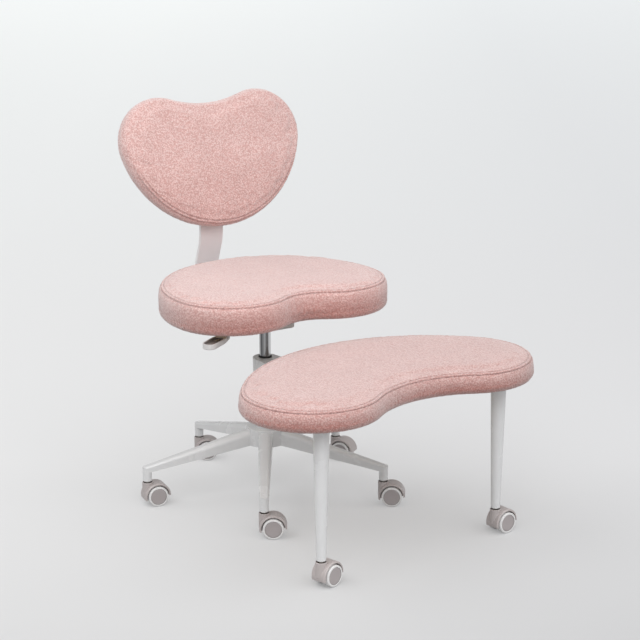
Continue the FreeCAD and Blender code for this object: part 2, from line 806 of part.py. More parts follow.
node(
    turned(
        "thrust_bearing",
        [
            (neck + 0.05, column_floor_top + 0.2),
            (S["bearing_radius"], column_floor_top + 0.2),
            (S["bearing_radius"], column_floor_top + S["bearing_height"] * 0.3),
            (S["bearing_radius"] - 1.5, column_floor_top + S["bearing_height"] * 0.4),
            (S["bearing_radius"] - 1.5, column_floor_top + S["bearing_height"] * 0.7),
            (S["bearing_radius"], column_floor_top + S["bearing_height"] * 0.8),
            (S["bearing_radius"], rod_shoulder),
            (neck + 0.05, rod_shoulder),
        ],
    ),
    "thrust_bearing",
)
node(
    turned(
        "rod_clip",
        [
            (neck - 0.95, column_low - 2.8),
            (neck + 4, column_low - 2.8),
            (neck + 4, column_low - 1.4),
            (neck - 0.95, column_low - 1.4),
        ],
    ),
    "rod_clip",
)
cylinder_in = S["cylinder_radius"] - S["cylinder_wall"]
cone_top = S["cylinder_radius"] - S["cone_taper"]
pin_floor = S["cylinder_top"] - S["pin_length"] + 2
node(
    turned(
        "pressure_cylinder",
        [
            (S["rod_radius"] + gap, S["cylinder_bottom"]),
            (S["cylinder_radius"], S["cylinder_bottom"]),
            (S["cylinder_radius"], S["cylinder_top"] - S["cone_length"]),
            (cone_top, S["cylinder_top"]),
            (S["pin_radius"] + gap, S["cylinder_top"]),
            (S["pin_radius"] + gap, pin_floor),
            (0, pin_floor),
            (0, pin_floor - 12),
            (cylinder_in, pin_floor - 12),
            (cylinder_in, S["cylinder_bottom"] + S["gland_length"]),
            (S["rod_radius"] + gap, S["cylinder_bottom"] + S["gland_length"]),
        ],
    ),
    "pressure_cylinder",
)
pin_top = S["cylinder_top"] + 6
node(
    turned(
        "release_pin",
        [
            (0, pin_top - S["pin_length"]),
            (S["pin_radius"], pin_top - S["pin_length"]),
            (S["pin_radius"], pin_top - 1),
            (S["pin_radius"] - 1, pin_top),
            (0, pin_top),
        ],
    ),
    "release_pin",
)

# Leg rest: the pivot arm turns on a bush round the column and carries the board of the cushion.
rest_bottom = S["rest_seam"] - S["rest_side"]
block_low = S["block_top"] - S["block_height"]
lid_low = S["block_top"] - S["lid_thickness"]
bush_in = S["column_radius"] + gap
bush_out = bush_in + S["bush_wall"]
node(
    place(
        turned(
            "pivot_bush",
            [
                (bush_in, S["sleeve_bottom"]),
                (bush_out, S["sleeve_bottom"]),
                (bush_out, lid_low),
                (S["ring_radius"] + 0.9, lid_low),
                (S["ring_radius"] + 0.9, S["column_top"] + 0.1),
                (bush_in, S["column_top"] + 0.1),
            ],
        ),
        turn=S["rest_turn"],
    ),
    "pivot_bush",
)
rest_arm_end = S["leg_reach"] - S["arm_end_to_legs"]
crank_end = S["leg_reach"] - S["crank_to_legs"]
pivot_body = new_body("pivot_body")
wedge = sketch_on(pivot_body, "XY_Plane", block_low)
hw, reach, br = SIZES["block_half_width"], SIZES["block_reach"], SIZES["block_radius"]
lean = math.atan2(-reach, hw) + math.acos(br / math.hypot(hw, reach))
touch = Vector(br * math.cos(lean), br * math.sin(lean), 0)
mirror = Vector(-touch.x, touch.y, 0)
wedge.addGeometry(Part.ArcOfCircle(Part.Circle(Vector(), Vector(0, 0, 1), br), lean, math.pi - lean), False)
wedge.addGeometry(Part.LineSegment(mirror, Vector(-hw, -reach, 0)), False)
wedge.addGeometry(Part.LineSegment(Vector(-hw, -reach, 0), Vector(hw, -reach, 0)), False)
wedge.addGeometry(Part.LineSegment(Vector(hw, -reach, 0), touch), False)
rule(wedge, "Tangent", 0, 2, 1, 1)
rule(wedge, "Coincident", 1, 2, 2, 1)
rule(wedge, "Coincident", 2, 2, 3, 1)
rule(wedge, "Tangent", 3, 2, 0, 1)
pin(wedge, 0, 3, 0, 0)
rule(wedge, "Radius", 0, size=S["block_radius"])
pin(wedge, 2, 1, -1 * S["block_half_width"], -1 * S["block_reach"])
pin(wedge, 2, 2, S["block_half_width"], -1 * S["block_reach"])
pad(pivot_body, wedge, S["block_height"])
side = polygon(
    sketch_on(pivot_body, "YZ_Plane"),
    [
        (-1 * S["block_reach"], S["block_top"]),
        (-1 * S["crank_start"], S["block_top"]),
        (-1 * crank_end, rest_bottom),
        (-1 * rest_arm_end, rest_bottom),
        (-1 * rest_arm_end, rest_bottom - S["rest_arm_depth"]),
        (-1 * crank_end - 8, rest_bottom - S["rest_arm_depth"]),
        (-1 * S["crank_start"] - 10, block_low),
        (-1 * S["block_reach"], block_low),
    ],
)
pad(pivot_body, side, 2 * S["block_half_width"], symmetric=True)
sleeve = circle(sketch_on(pivot_body, "XY_Plane", S["sleeve_bottom"]), 0, 0, S["block_radius"])
pad(pivot_body, sleeve, S["block_height"] + block_low - S["sleeve_bottom"])
fillet(pivot_body, 2, lambda e: abs(e.BoundBox.ZMin - SIZES["block_top"]) < 0.01 and e.BoundBox.YMax > -100 and not (
    e.BoundBox.YLength < 0.01))
wall = S["rest_arm_wall"]
hollow = polygon(
    sketch_on(pivot_body, "YZ_Plane"),
    [
        (-1 * S["block_reach"] - wall, S["block_top"] - wall),
        (-1 * S["crank_start"] - 1, S["block_top"] - wall),
        (-1 * crank_end - 1, rest_bottom - wall),
        (wall - rest_arm_end, rest_bottom - wall),
        (wall - rest_arm_end, block_low - 10),
        (-1 * S["block_reach"] - wall, block_low - 10),
    ],
)
pocket(pivot_body, hollow, 2 * S["block_half_width"] - 2 * wall, symmetric=True)
pivot_bore = circle(sketch_on(pivot_body, "XY_Plane", S["sleeve_bottom"]), 0, 0, bush_out + 0.02)
pocket(pivot_body, pivot_bore, lid_low - S["sleeve_bottom"], reverse=True)
lid_hole = circle(sketch_on(pivot_body, "XY_Plane", S["sleeve_bottom"]), 0, 0, S["ring_radius"] + 0.4)
pocket(pivot_body, lid_hole, S["block_top"] - S["sleeve_bottom"] + 1, reverse=True)

arm_bolt_z = rest_bottom - wall
flange_low = rest_bottom - S["flange_thickness"]
rest_spots = []
for x in (-1 * S["rest_bolt_side"], S["rest_bolt_side"]):
    for y in (S["rest_bolt_inset"], S["rest_bolt_inset"] + S["rest_bolt_pitch"]):
        rest_spots.append((x, y - rest_arm_end, arm_bolt_z))
leg_screws = []
for a in (90, 210, 330):
    screw_x = S["flange_screw_radius"] * math.cos(math.radians(a))
    screw_y = S["flange_screw_radius"] * math.sin(math.radians(a))
    leg_screws.append((screw_x, screw_y, flange_low))
for leg_x in (S["leg_spacing"] / -2, S["leg_spacing"] / 2):
    rest_spots.extend((leg_x + x, y - S["leg_reach"], z) for x, y, z in leg_screws)
rest_bolts, rest_holes = bolts_at("rest_bolt", rest_spots)
node(place(group("rest_bolt_group", rest_bolts), turn=S["rest_turn"]), "rest_bolts")
node(place(cut("pivot_arm", pivot_body, rest_holes), turn=S["rest_turn"]), "pivot_arm")

leg_turned = turned(
    "leg_turned",
    [
        (S["shank_radius"], S["socket_height"]),
        (S["leg_foot_radius"], S["socket_height"]),
        (S["leg_top_radius"], flange_low),
        (S["flange_radius"], flange_low),
        (S["flange_radius"], rest_bottom),
        (0, rest_bottom),
        (0, S["socket_height"] + S["shank_length"] + 0.5),
        (S["shank_radius"], S["socket_height"] + S["shank_length"] + 0.5),
    ],
)
leg_drill = group("leg_drill", [copy_of(bolt_hole, f"leg_hole_{i}", *spot) for i, spot in enumerate(leg_screws)])
leg = cut("leg", leg_turned, leg_drill)
for k in (1, 2):
    node(copy_of(leg, f"rest_leg_{k}", *stem_spots[4 + k], 0, S["rest_turn"]), f"rest_leg_{k}")

rest_shape = [S["rest_lobe_x"], S["lobes_to_legs"] - S["leg_reach"], S["rest_lobe_radius"], S["rest_notch_ahead"], S["rest_back_ahead"]]
seat_shape = [S["seat_lobe_x"], -1 * S["seat_lobe_y"], S["seat_lobe_radius"], S["seat_notch_ahead"], S["seat_back_ahead"]]
back_shape = [S["back_lobe_x"], 0 * S["back_lobe_x"], S["back_lobe_radius"], S["back_notch_ahead"], S["back_foot_ahead"]]


def cushion(name, shape, sections, board_low, reverse):
    """A soft form lofted through its sections, hollowed underneath for its board."""
    body = new_body(name)
    loft(body, [kidney(sketch_on(body, "XY_Plane", z), *shape, inset) for inset, z in sections])
    recess = kidney(sketch_on(body, "XY_Plane", board_low), *shape, S["board_edge"])
    pocket(body, recess, S["board_thickness"], reverse=reverse)
    return body


def board(name, shape, low, holes):
    body = new_body(name + "_body")
    pad(body, kidney(sketch_on(body, "XY_Plane", low), *shape, S["board_edge"] + 0.4), S["board_thickness"])
    return cut(name, body, holes)


# Each section is how far the outline is drawn in and its height, from the underside to the crown.
rest_top = S["rest_seam"]
node(
    place(
        cushion(
            "rest_cushion",
            rest_shape,
            [
                (9, rest_bottom),
                (3, rest_bottom + 5),
                (0, rest_bottom + S["rest_side"] * 0.32),
                (0, rest_bottom + S["rest_side"] * 0.62),
                (1.8, rest_top - 6),
                (5.5, rest_top - 1.2),
                (5.2, rest_top + 0.6),
                (11, rest_top + S["rest_crown"] * 0.48),
                (30, rest_top + S["rest_crown"] * 0.78),
                (75, rest_top + S["rest_crown"]),
            ],
            rest_bottom,
            True,
        ),
        turn=S["rest_turn"],
    ),
    "rest_cushion",
)
node(place(board("rest_board", rest_shape, rest_bottom, rest_holes), turn=S["rest_turn"]), "rest_board")

# Seat.
seat_bottom = S["seat_seam"] - S["seat_side"]
seat_top = S["seat_seam"]
node(
    cushion(
        "seat_cushion",
        seat_shape,
        [
            (10, seat_bottom),
            (3.5, seat_bottom + 6),
            (0, seat_bottom + S["seat_side"] * 0.34),
            (0, seat_bottom + S["seat_side"] * 0.66),
            (2, seat_top - 7),
            (5.8, seat_top - 1.2),
            (5.4, seat_top + 0.8),
            (11, seat_top + S["seat_crown"] * 0.46),
            (30, seat_top + S["seat_crown"] * 0.76),
            (75, seat_top + S["seat_crown"]),
        ],
        seat_bottom,
        True,
    ),
    "seat_cushion",
)

# Backrest frame: local -y is up along the back, local +z points to the rear.
back_sin = sine(S["back_lean"])
back_cos = cosine(S["back_lean"])
back_turn = -90 - S["back_lean"]
back_set = S["back_line"] + (S["back_height"] - S["bar_neck_height"]) * tangent(S["back_lean"])
bar_top = S["back_height"] - S["bar_top_drop"]


def back_point(down, behind):
    """Where a point of the backrest's own frame lies: (y, z) in the chair's frame."""
    return (
        back_set - down * back_sin + behind * back_cos,
        S["back_height"] - down * back_cos - behind * back_sin,
    )


plate_low = seat_bottom - S["plate_thickness"]
bar_low = seat_bottom - S["bar_thickness"]
seat_spots = []
for x in (-0.42, 0.42):
    for y in (-0.4, 0.4):
        seat_spots.append((S["plate_width"] * x, S["plate_length"] * y, plate_low))
for x in (-0.28, 0.28):
    for y in (24, 66):
        seat_spots.append((S["bar_width"] * x, S["bar_start"] + y, bar_low))
foot_behind = S["back_depth"] + 4
for x in (-0.4, 0.4):
    for y in (0.25, 0.75):
        spot_y, spot_z = back_point(S["bracket_drop"] + S["bracket_height"] * y, foot_behind)
        seat_spots.append((S["bracket_width"] * x, spot_y, spot_z, back_turn + 180, (1, 0, 0)))
seat_bolts, seat_holes = bolts_at("seat_bolt", seat_spots)
node(group("seat_bolt_group", seat_bolts), "seat_bolts")
node(board("seat_board", seat_shape, seat_bottom, seat_holes), "seat_board")

node(
    place(
        cushion(
            "back_cushion",
            back_shape,
            [
                (62, -1 * S["back_crown"]),
                (30, S["back_crown"] * -0.82),
                (11, S["back_crown"] * -0.5),
                (6.4, -0.8),
                (6.8, 1),
                (2.5, S["back_depth"] * 0.16),
                (0, S["back_depth"] * 0.38),
                (1.5, S["back_depth"] * 0.6),
                (6, S["back_depth"] * 0.83),
                (11, S["back_depth"] * 0.95),
                (17, S["back_depth"]),
            ],
            S["back_depth"],
            False,
        ),
        0,
        back_set,
        S["back_height"],
        back_turn,
        (1, 0, 0),
    ),
    "back_cushion",
)
back_board_body = new_body("back_board_body")
back_board_sketch = kidney(
    sketch_on(back_board_body, "XY_Plane", S["back_depth"] - S["board_thickness"]), *back_shape, S["board_edge"] + 0.4
)
pad(back_board_body, back_board_sketch, S["board_thickness"])
place(back_board_body, 0, back_set, S["back_height"], back_turn, (1, 0, 0))
node(cut("back_board", back_board_body, seat_holes), "back_board")

bar_body = new_body("bar_body")
bar_mid = seat_bottom - S["bar_thickness"] / 2
path = sketch_on(bar_body, "YZ_Plane")
upper_y = back_set + (S["bar_standoff"] + S["bar_thickness"] / 2) / back_cos + (
    (bar_top - S["back_height"]) * back_sin / back_cos
)
lean_rad = math.radians(SIZES["back_lean"])
r1, r2 = SIZES["bar_bend_radius"], SIZES["bar_neck_radius"]
c1 = Vector(SIZES["bar_bend_y"], number(bar_mid) + r1, 0)
upper_dir = Vector(math.sin(lean_rad), math.cos(lean_rad), 0)
upper_normal = Vector(math.cos(lean_rad), -math.sin(lean_rad), 0)
top_end = Vector(number(upper_y), number(bar_top), 0)
c2_z = SIZES["bar_neck_height"]
t2 = (c2_z - top_end.y + r2 * math.sin(lean_rad)) / upper_dir.y
c2 = top_end + upper_dir * t2 + upper_normal * r2
between = c2 - c1
reach2 = math.hypot(between.x, between.y)
line_angle = math.atan2(between.y, between.x) - math.acos((r1 + r2) / reach2)
out1 = c1 + Vector(math.cos(line_angle), math.sin(line_angle), 0) * r1
in2 = c2 - Vector(math.cos(line_angle), math.sin(line_angle), 0) * r2
up = Vector(0, 0, 1)
out2_angle = math.pi - lean_rad
path.addGeometry(Part.LineSegment(Vector(SIZES["bar_start"], number(bar_mid), 0), Vector(c1.x, number(bar_mid), 0)), False)
path.addGeometry(Part.ArcOfCircle(Part.Circle(c1, up, r1), -math.pi / 2, line_angle), False)
path.addGeometry(Part.LineSegment(out1, in2), False)
path.addGeometry(Part.ArcOfCircle(Part.Circle(c2, up, r2), out2_angle, line_angle + math.pi), False)
path.addGeometry(Part.LineSegment(top_end + upper_dir * t2, top_end), False)
rule(path, "Tangent", 0, 2, 1, 1)
rule(path, "Tangent", 1, 2, 2, 1)
rule(path, "Tangent", 2, 2, 3, 2)
rule(path, "Tangent", 3, 1, 4, 1)
pin(path, 0, 1, S["bar_start"], bar_mid)
rule(path, "Horizontal", 0)
rule(path, "DistanceX", -1, 1, 1, 3, size=S["bar_bend_y"])
rule(path, "Radius", 1, size=S["bar_bend_radius"])
rule(path, "Radius", 3, size=S["bar_neck_radius"])
rule(path, "DistanceY", -1, 1, 3, 3, size=S["bar_neck_height"])
pin(path, 4, 2, upper_y, bar_top)
lean_index = path.addConstraint(Sketcher.Constraint("Angle", 4, math.pi / 2 - lean_rad))
path.setExpression(f"Constraints[{lean_index}]", f"(90 - {S['back_lean'].text}) * 1 deg")
section = polygon(
    sketch_on(bar_body, "XZ_Plane", -1 * S["bar_start"]),
    [
        (S["bar_width"] / -2, bar_low),
        (S["bar_width"] / 2, bar_low),
        (S["bar_width"] / 2, seat_bottom),
        (S["bar_width"] / -2, seat_bottom),
    ],
)
pipe = bar_body.newObject("PartDesign::AdditivePipe", "bar_pipe")
pipe.Profile = section
pipe.Spine = (path, ["Edge1", "Edge2", "Edge3", "Edge4", "Edge5"])
foot_y, foot_z = back_point(S["bracket_drop"], S["back_depth"])
web_y, web_z = back_point(S["bracket_drop"] + 8, S["back_depth"] + 3)
web_depth = S["bar_standoff"] - S["back_depth"] - 3 + 0.6
bracket = [
    box("bracket_foot", S["bracket_width"] / -2, foot_y, foot_z, S["bracket_width"], S["bracket_height"], 4, back_turn, (1, 0, 0)),
    box("bracket_web_1", S["bar_width"] / -2 + 2, web_y, web_z, 4, S["bracket_height"] - 16, web_depth, back_turn, (1, 0, 0)),
    box("bracket_web_2", S["bar_width"] / 2 - 6, web_y, web_z, 4, S["bracket_height"] - 16, web_depth, back_turn, (1, 0, 0)),
]
node(cut("back_bar", fuse("bar_and_bracket", [bar_body] + bracket), seat_holes), "back_bar")

# Seat plate with the gas spring's socket and the lever's ears.
plate_body = new_body("plate_body")


def rounded_rectangle(sketch, length, width, corner):
    """A centred rectangle along x and y with round corners."""
    first = sketch.GeometryCount
    a, b, c = number(length) / 2, number(width) / 2, number(corner)
    up = Vector(0, 0, 1)
    spots = [(a - c, -b), (a, c - b), (a, b - c), (a - c, b), (c - a, b), (-a, b - c), (-a, c - b), (c - a, -b)]
    hubs = [(a - c, c - b), (a - c, b - c), (c - a, b - c), (c - a, c - b)]
    turns = [-90, 0, 90, 180]
    for i in range(4):
        ring = Part.Circle(Vector(*hubs[i], 0), up, c)
        sketch.addGeometry(Part.ArcOfCircle(ring, math.radians(turns[i]), math.radians(turns[i] + 90)), False)
        nxt = spots[(2 * i + 2) % 8]
        sketch.addGeometry(Part.LineSegment(Vector(*spots[2 * i + 1], 0), Vector(*nxt, 0)), False)
    for i in range(8):
        rule(sketch, "Tangent", first + i, 2, first + (i + 1) % 8, 1)
    rule(sketch, "DistanceX", -1, 1, first, 3, size=length / 2 - corner)
    rule(sketch, "DistanceX", -1, 1, first + 4, 3, size=corner - length / 2)
    rule(sketch, "DistanceY", -1, 1, first, 3, size=corner - width / 2)
    rule(sketch, "DistanceY", -1, 1, first + 4, 3, size=width / 2 - corner)
    rule(sketch, "Radius", first, size=corner)
    rule(sketch, "Vertical", first + 1)
    rule(sketch, "Horizontal", first + 3)
    rule(sketch, "Vertical", first + 5)
    rule(sketch, "Horizontal", first + 7)
    return sketch


housing_low = plate_low - S["housing_depth"]
top_plate = rounded_rectangle(
    sketch_on(plate_body, "XY_Plane", plate_low), S["plate_width"], S["plate_length"], S["plate_corner"]
)
pad(plate_body, top_plate, S["plate_thickness"])
housing = sketch_on(plate_body, "XY_Plane", housing_low)
rounded_rectangle(housing, S["housing_width"], S["housing_length"], S["plate_corner"])
rounded_rectangle(
    housing,
    S["housing_width"] - 2 * S["housing_wall"],
    S["housing_length"] - 2 * S["housing_wall"],
    S["plate_corner"] - S["housing_wall"],
)
pad(plate_body, housing, S["housing_depth"])
housing_floor = rounded_rectangle(
    sketch_on(plate_body, "XY_Plane", housing_low), S["housing_width"], S["housing_length"], S["plate_corner"]
)
pad(plate_body, housing_floor, S["housing_wall"])
socket_tube = circle(sketch_on(plate_body, "XY_Plane", housing_low), 0, 0, S["socket_radius"])
pad(plate_body, socket_tube, S["cylinder_top"] - housing_low)
lever_z = pin_top + S["lever_pin_gap"] + S["lever_radius"]
lever_fall = tangent(S["lever_droop"])
pivot_z = lever_z - lever_fall * S["lever_pivot"]
ear_low = pivot_z - 9
ear_cos = cosine(S["lever_turn"])
ear_sin = sine(S["lever_turn"])


def lever_point(along, across):
    """A point of the lever's own frame in the chair's frame."""
    return along * ear_cos - across * ear_sin, along * ear_sin + across * ear_cos


ears = []
for index, across in enumerate((S["ear_spacing"] / 2, S["ear_spacing"] / -2 - S["ear_thickness"])):
    ear_x, ear_y = lever_point(S["lever_pivot"] - 8, across)
    ears.append(
        box(f"ear_{index}", ear_x, ear_y, ear_low, 16, S["ear_thickness"], plate_low - ear_low + 1, S["lever_turn"])
    )
solid_plate = fuse("plate_and_ears", [plate_body] + ears)
spring_cone = doc.addObject("Part::Cone", "spring_cone")
bind(spring_cone, "Radius1", S["cylinder_radius"])
bind(spring_cone, "Radius2", cone_top)
bind(spring_cone, "Height", S["cone_length"])
place(spring_cone, z=S["cylinder_top"] - S["cone_length"])
spring_hole = rod("spring_hole", S["cylinder_radius"] + 0.5, 40, z=S["cylinder_top"] - S["cone_length"] - 40)
slot_x, slot_y = lever_point(S["lever_pivot"] + 2, -7)
lever_slot = box("lever_slot", slot_x, slot_y, pivot_z - 9, 60, 14, S["lever_radius"] + 12, S["lever_turn"])
pivot_length = S["ear_spacing"] + 2 * S["ear_thickness"] + 4
pivot_drill_local = rod("pivot_drill_local", S["axle_radius"] + gap, pivot_length, S["lever_pivot"], pivot_length / -2, pivot_z, -90, (1, 0, 0))
pivot_drill = group("pivot_drill_group", [pivot_drill_local])
place(pivot_drill, turn=S["lever_turn"])
plate_tools = group("plate_tools", [spring_cone, spring_hole, lever_slot, pivot_drill, seat_holes])
node(cut("seat_plate", solid_plate, plate_tools), "seat_plate")

# Lift lever: a round bar on a cross pin, pressing the release pin with its inner end.
paddle_start = S["lever_reach"] - S["paddle_length"]
lever_end = paddle_start + S["paddle_length"] * 0.55
lever_bar = rod("lever_bar", S["lever_radius"], lever_end + 6, -6, 0, lever_z + 6 * lever_fall, S["lever_droop"] + 90, (0, 1, 0))
lever_pin = rod("lever_pin", S["axle_radius"], pivot_length - 2, S["lever_pivot"], pivot_length / -2 + 1, pivot_z, -90, (1, 0, 0))
node(place(fuse("lift_lever", [lever_bar, lever_pin]), turn=S["lever_turn"]), "lift_lever")
paddle_body = new_body("paddle_body")
paddle_mid = lever_z - lever_fall * (S["lever_reach"] - S["paddle_length"] * 0.6)
paddle_low = paddle_mid - S["paddle_thickness"] * 0.55
half_paddle = S["paddle_width"] / 2
paddle_hub = S["lever_reach"] - half_paddle
outline = [
    (paddle_start, S["paddle_neck"] / 2),
    (paddle_start + S["paddle_length"] * 0.38, half_paddle),
    (paddle_hub, half_paddle),
]
pad(paddle_body, round_ended(sketch_on(paddle_body, "XY_Plane", paddle_low), outline, paddle_hub, half_paddle), S["paddle_thickness"])
fillet(paddle_body, 3, lambda e: abs(e.BoundBox.ZMax - number(paddle_low)) < 0.01)
rim = S["paddle_rim"]
inner = [
    (paddle_start + S["paddle_length"] * 0.36, half_paddle - rim - 1.5),
    (paddle_start + S["paddle_length"] * 0.44, half_paddle - rim),
    (paddle_hub, half_paddle - rim),
]
dish = round_ended(sketch_on(paddle_body, "XY_Plane", paddle_low + S["paddle_thickness"]), inner, paddle_hub, half_paddle - rim)
pocket(paddle_body, dish, S["paddle_recess"])
bore_start = paddle_start - 5
paddle_bore = rod(
    "paddle_bore",
    S["lever_radius"] + 0.02,
    lever_end + 0.3 - bore_start,
    bore_start,
    0,
    lever_z - lever_fall * bore_start,
    S["lever_droop"] + 90,
    (0, 1, 0),
)
node(place(cut("lever_handle", paddle_body, paddle_bore), turn=S["lever_turn"]), "lever_handle")

doc.recompute()
for item in doc.Objects:
    if "Invalid" in item.State or "Error" in item.State:
        raise RuntimeError(f"{item.Name} did not build: {item.State}")
os.makedirs("parts", exist_ok=True)
for item in NODES:
    shape = item.Shape
    if shape.isNull() or not shape.isValid() or not shape.Solids:
        raise RuntimeError(f"{item.Label} has no sound solid")
    shape.exportStep(f"parts/{item.Label}.step")
    size = shape.BoundBox
    print(
        f"{item.Label:24s} solids {len(shape.Solids):2d} faces {len(shape.Faces):3d}"
        f" x {size.XMin:7.1f} {size.XMax:7.1f} y {size.YMin:7.1f} {size.YMax:7.1f} z {size.ZMin:6.1f} {size.ZMax:6.1f}"
    )
print(len(NODES), "sub-parts")
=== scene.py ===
# %% [markdown]
# # A cross-legged office chair
# The chair is made twice. The CAD model has its true sizes, joints and inner parts; this lesson dresses
# it: curly pink cloth on three cushions, glossy white paint, chrome, and taupe plastic on the casters.
# The CAD model is loaded first as a fixed frame, and everything made here rides on one of its moving
# bodies.

# %% Load the frame
import json
import math
from collections import namedtuple

import bmesh
import bpy
import numpy as np
from mathutils import Matrix, Vector, noise
from mathutils.bvhtree import BVHTree


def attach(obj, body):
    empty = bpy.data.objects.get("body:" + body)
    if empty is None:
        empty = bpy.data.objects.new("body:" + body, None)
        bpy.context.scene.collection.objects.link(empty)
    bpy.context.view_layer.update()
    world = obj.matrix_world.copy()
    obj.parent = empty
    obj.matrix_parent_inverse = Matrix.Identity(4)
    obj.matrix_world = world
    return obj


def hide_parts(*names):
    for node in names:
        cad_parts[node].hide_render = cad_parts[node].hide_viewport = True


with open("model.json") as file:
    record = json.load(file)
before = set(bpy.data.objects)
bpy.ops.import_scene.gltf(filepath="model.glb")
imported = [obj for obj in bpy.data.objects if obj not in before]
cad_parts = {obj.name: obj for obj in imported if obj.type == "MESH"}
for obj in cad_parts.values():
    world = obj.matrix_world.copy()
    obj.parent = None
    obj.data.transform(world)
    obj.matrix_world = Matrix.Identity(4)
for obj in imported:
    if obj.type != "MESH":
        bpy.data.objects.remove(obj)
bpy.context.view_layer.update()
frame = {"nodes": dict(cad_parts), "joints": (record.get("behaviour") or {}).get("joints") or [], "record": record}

nodes = frame["nodes"]

# %% [markdown]
# ## Camera
# The picture was taken from a little above eye level of a seated person, from the sitter's right front,
# with a long lens. A long lens far away keeps the two seats' proportions; a short one close by would
# swell the front one. The camera is turned by its look direction, so that no target object is needed. The
# same turn serves the lamps later, because lamps shine where a camera would look.

# %% Camera
def new_object(name, data):
    """A new object in the scene."""
    item = bpy.data.objects.new(name, data)
    bpy.context.scene.collection.objects.link(item)
    return item


def look_along(item, direction):
    """Turn a camera or a lamp to face one way."""
    item.rotation_euler = Vector(direction).to_track_quat("-Z", "Y").to_euler()


lens = bpy.data.cameras.new("photo_camera")
lens.lens = 106.875
lens.sensor_width = 36
lens.sensor_fit = "HORIZONTAL"
lens.clip_end = 200
camera = new_object("photo_camera", lens)
camera.location = (-2.333, -3.807, 1.6815)
look_along(camera, (0.52798, 0.80607, -0.26741))
bpy.context.scene.camera = camera
print("camera at", tuple(camera.location), "lens", lens.lens)

# %% [markdown]
# ## Helpers for node trees
# Every finish here is a small node tree: a shader, and textures that vary its colour, its gloss and its
# bumps. Building trees by hand repeats the same moves (add a node, set its inputs, link them), so they
# are short functions. An input is given either a number or another node's output: plug sets the first and
# links the second. Values that are the same all over a surface are set straight on the shader.

# %% Nodes and links
def plug(tree, item, values):
    """Feed a node's inputs: an output of another node is linked, anything else is set."""
    for socket, value in values.items():
        if isinstance(value, bpy.types.NodeSocket):
            tree.links.new(value, item.inputs[socket])
        else:
            item.inputs[socket].default_value = value


def add(tree, kind, values=None, **settings):
    """A new node with its settings and its inputs."""
    item = tree.nodes.new(kind)
    for key, value in settings.items():
        setattr(item, key, value)
    plug(tree, item, values or {})
    return item


def finish(name, colour, roughness, **shader_values):
    """A new material, its node tree and its shader."""
    material = bpy.data.materials.new(name)
    material.use_nodes = True
    tree = material.node_tree
    shader = tree.nodes["Principled BSDF"]
    shader.inputs["Base Color"].default_value = (*colour, 1)
    shader.inputs["Roughness"].default_value = roughness
    for socket, value in shader_values.items():
        shader.inputs[socket.replace("_", " ")].default_value = value
    material.diffuse_color = (*colour, 1)
    return material, tree, shader


print("node helpers ready")

# %% [markdown]
# The next few name what the finishes share: where a point lies, a noise, a sum, a stretched range, a
# colour ramp, two colours in one, and bumps. The Mix node keeps sockets for numbers and for colours side
# by side under the same names, so its inputs are counted: 0 is the share, 2 and 3 take numbers, 6 and 7
# take colours.

# %% Textures and colours
texture_low, texture_high = 0.3, 0.7
mix_share, mix_first, mix_second, mix_colour = 0, 6, 7, 2
white = (1, 1, 1)


def object_place(tree):
    """Where a point lies on its piece."""
    return add(tree, "ShaderNodeTexCoord").outputs["Object"]


def noise_field(tree, place, scale, detail, **more):
    """A cloudy noise, mostly between the texture's low and high."""
    values = {"Vector": place, "Scale": scale, "Detail": detail, **more}
    return add(tree, "ShaderNodeTexNoise", values).outputs["Fac"]


def compute(tree, operation, *values):
    """A sum with numbers or outputs."""
    return add(tree, "ShaderNodeMath", dict(enumerate(values)), operation=operation).outputs[0]


def remap(tree, source, start, end, low=0.0, high=1.0):
    """Stretch the range from start to end until it runs from low to high."""
    limits = {"From Min": start, "From Max": end, "To Min": low, "To Max": high}
    return add(tree, "ShaderNodeMapRange", {"Value": source, **limits}).outputs["Result"]


def spread(tree, source, low, high):
    """Stretch a texture's middle range to the wanted limits."""
    return remap(tree, source, texture_low, texture_high, low, high)


def ramp(tree, source, stops):
    """A colour ramp fed by one number."""
    item = add(tree, "ShaderNodeValToRGB", {"Fac": source})
    bar = item.color_ramp
    while len(bar.elements) < len(stops):
        bar.elements.new(0.5)
    for element, (spot, colour) in zip(bar.elements, stops):
        element.position = spot
        element.color = (*colour, 1)
    return item.outputs["Color"]


def blend(tree, share, first, second, kind="MIX", **settings):
    """Two colours in one: mixed by the share, or multiplied as far as the share says."""
    values = {mix_share: share, mix_first: first, mix_second: second}
    item = add(tree, "ShaderNodeMix", values, data_type="RGBA", blend_type=kind, **settings)
    return item.outputs[mix_colour]


def bumps(tree, shader, height, strength, distance):
    """Let a texture raise the surface under a shader."""
    item = add(tree, "ShaderNodeBump", {"Height": height, "Strength": strength, "Distance": distance})
    plug(tree, shader, {"Normal": item.outputs["Normal"]})


def shade(colour, amount):
    """A colour made darker or lighter."""
    return tuple(min(1.0, c * amount) for c in colour)


def grey(value):
    return (value, value, value)


print("texture helpers ready")
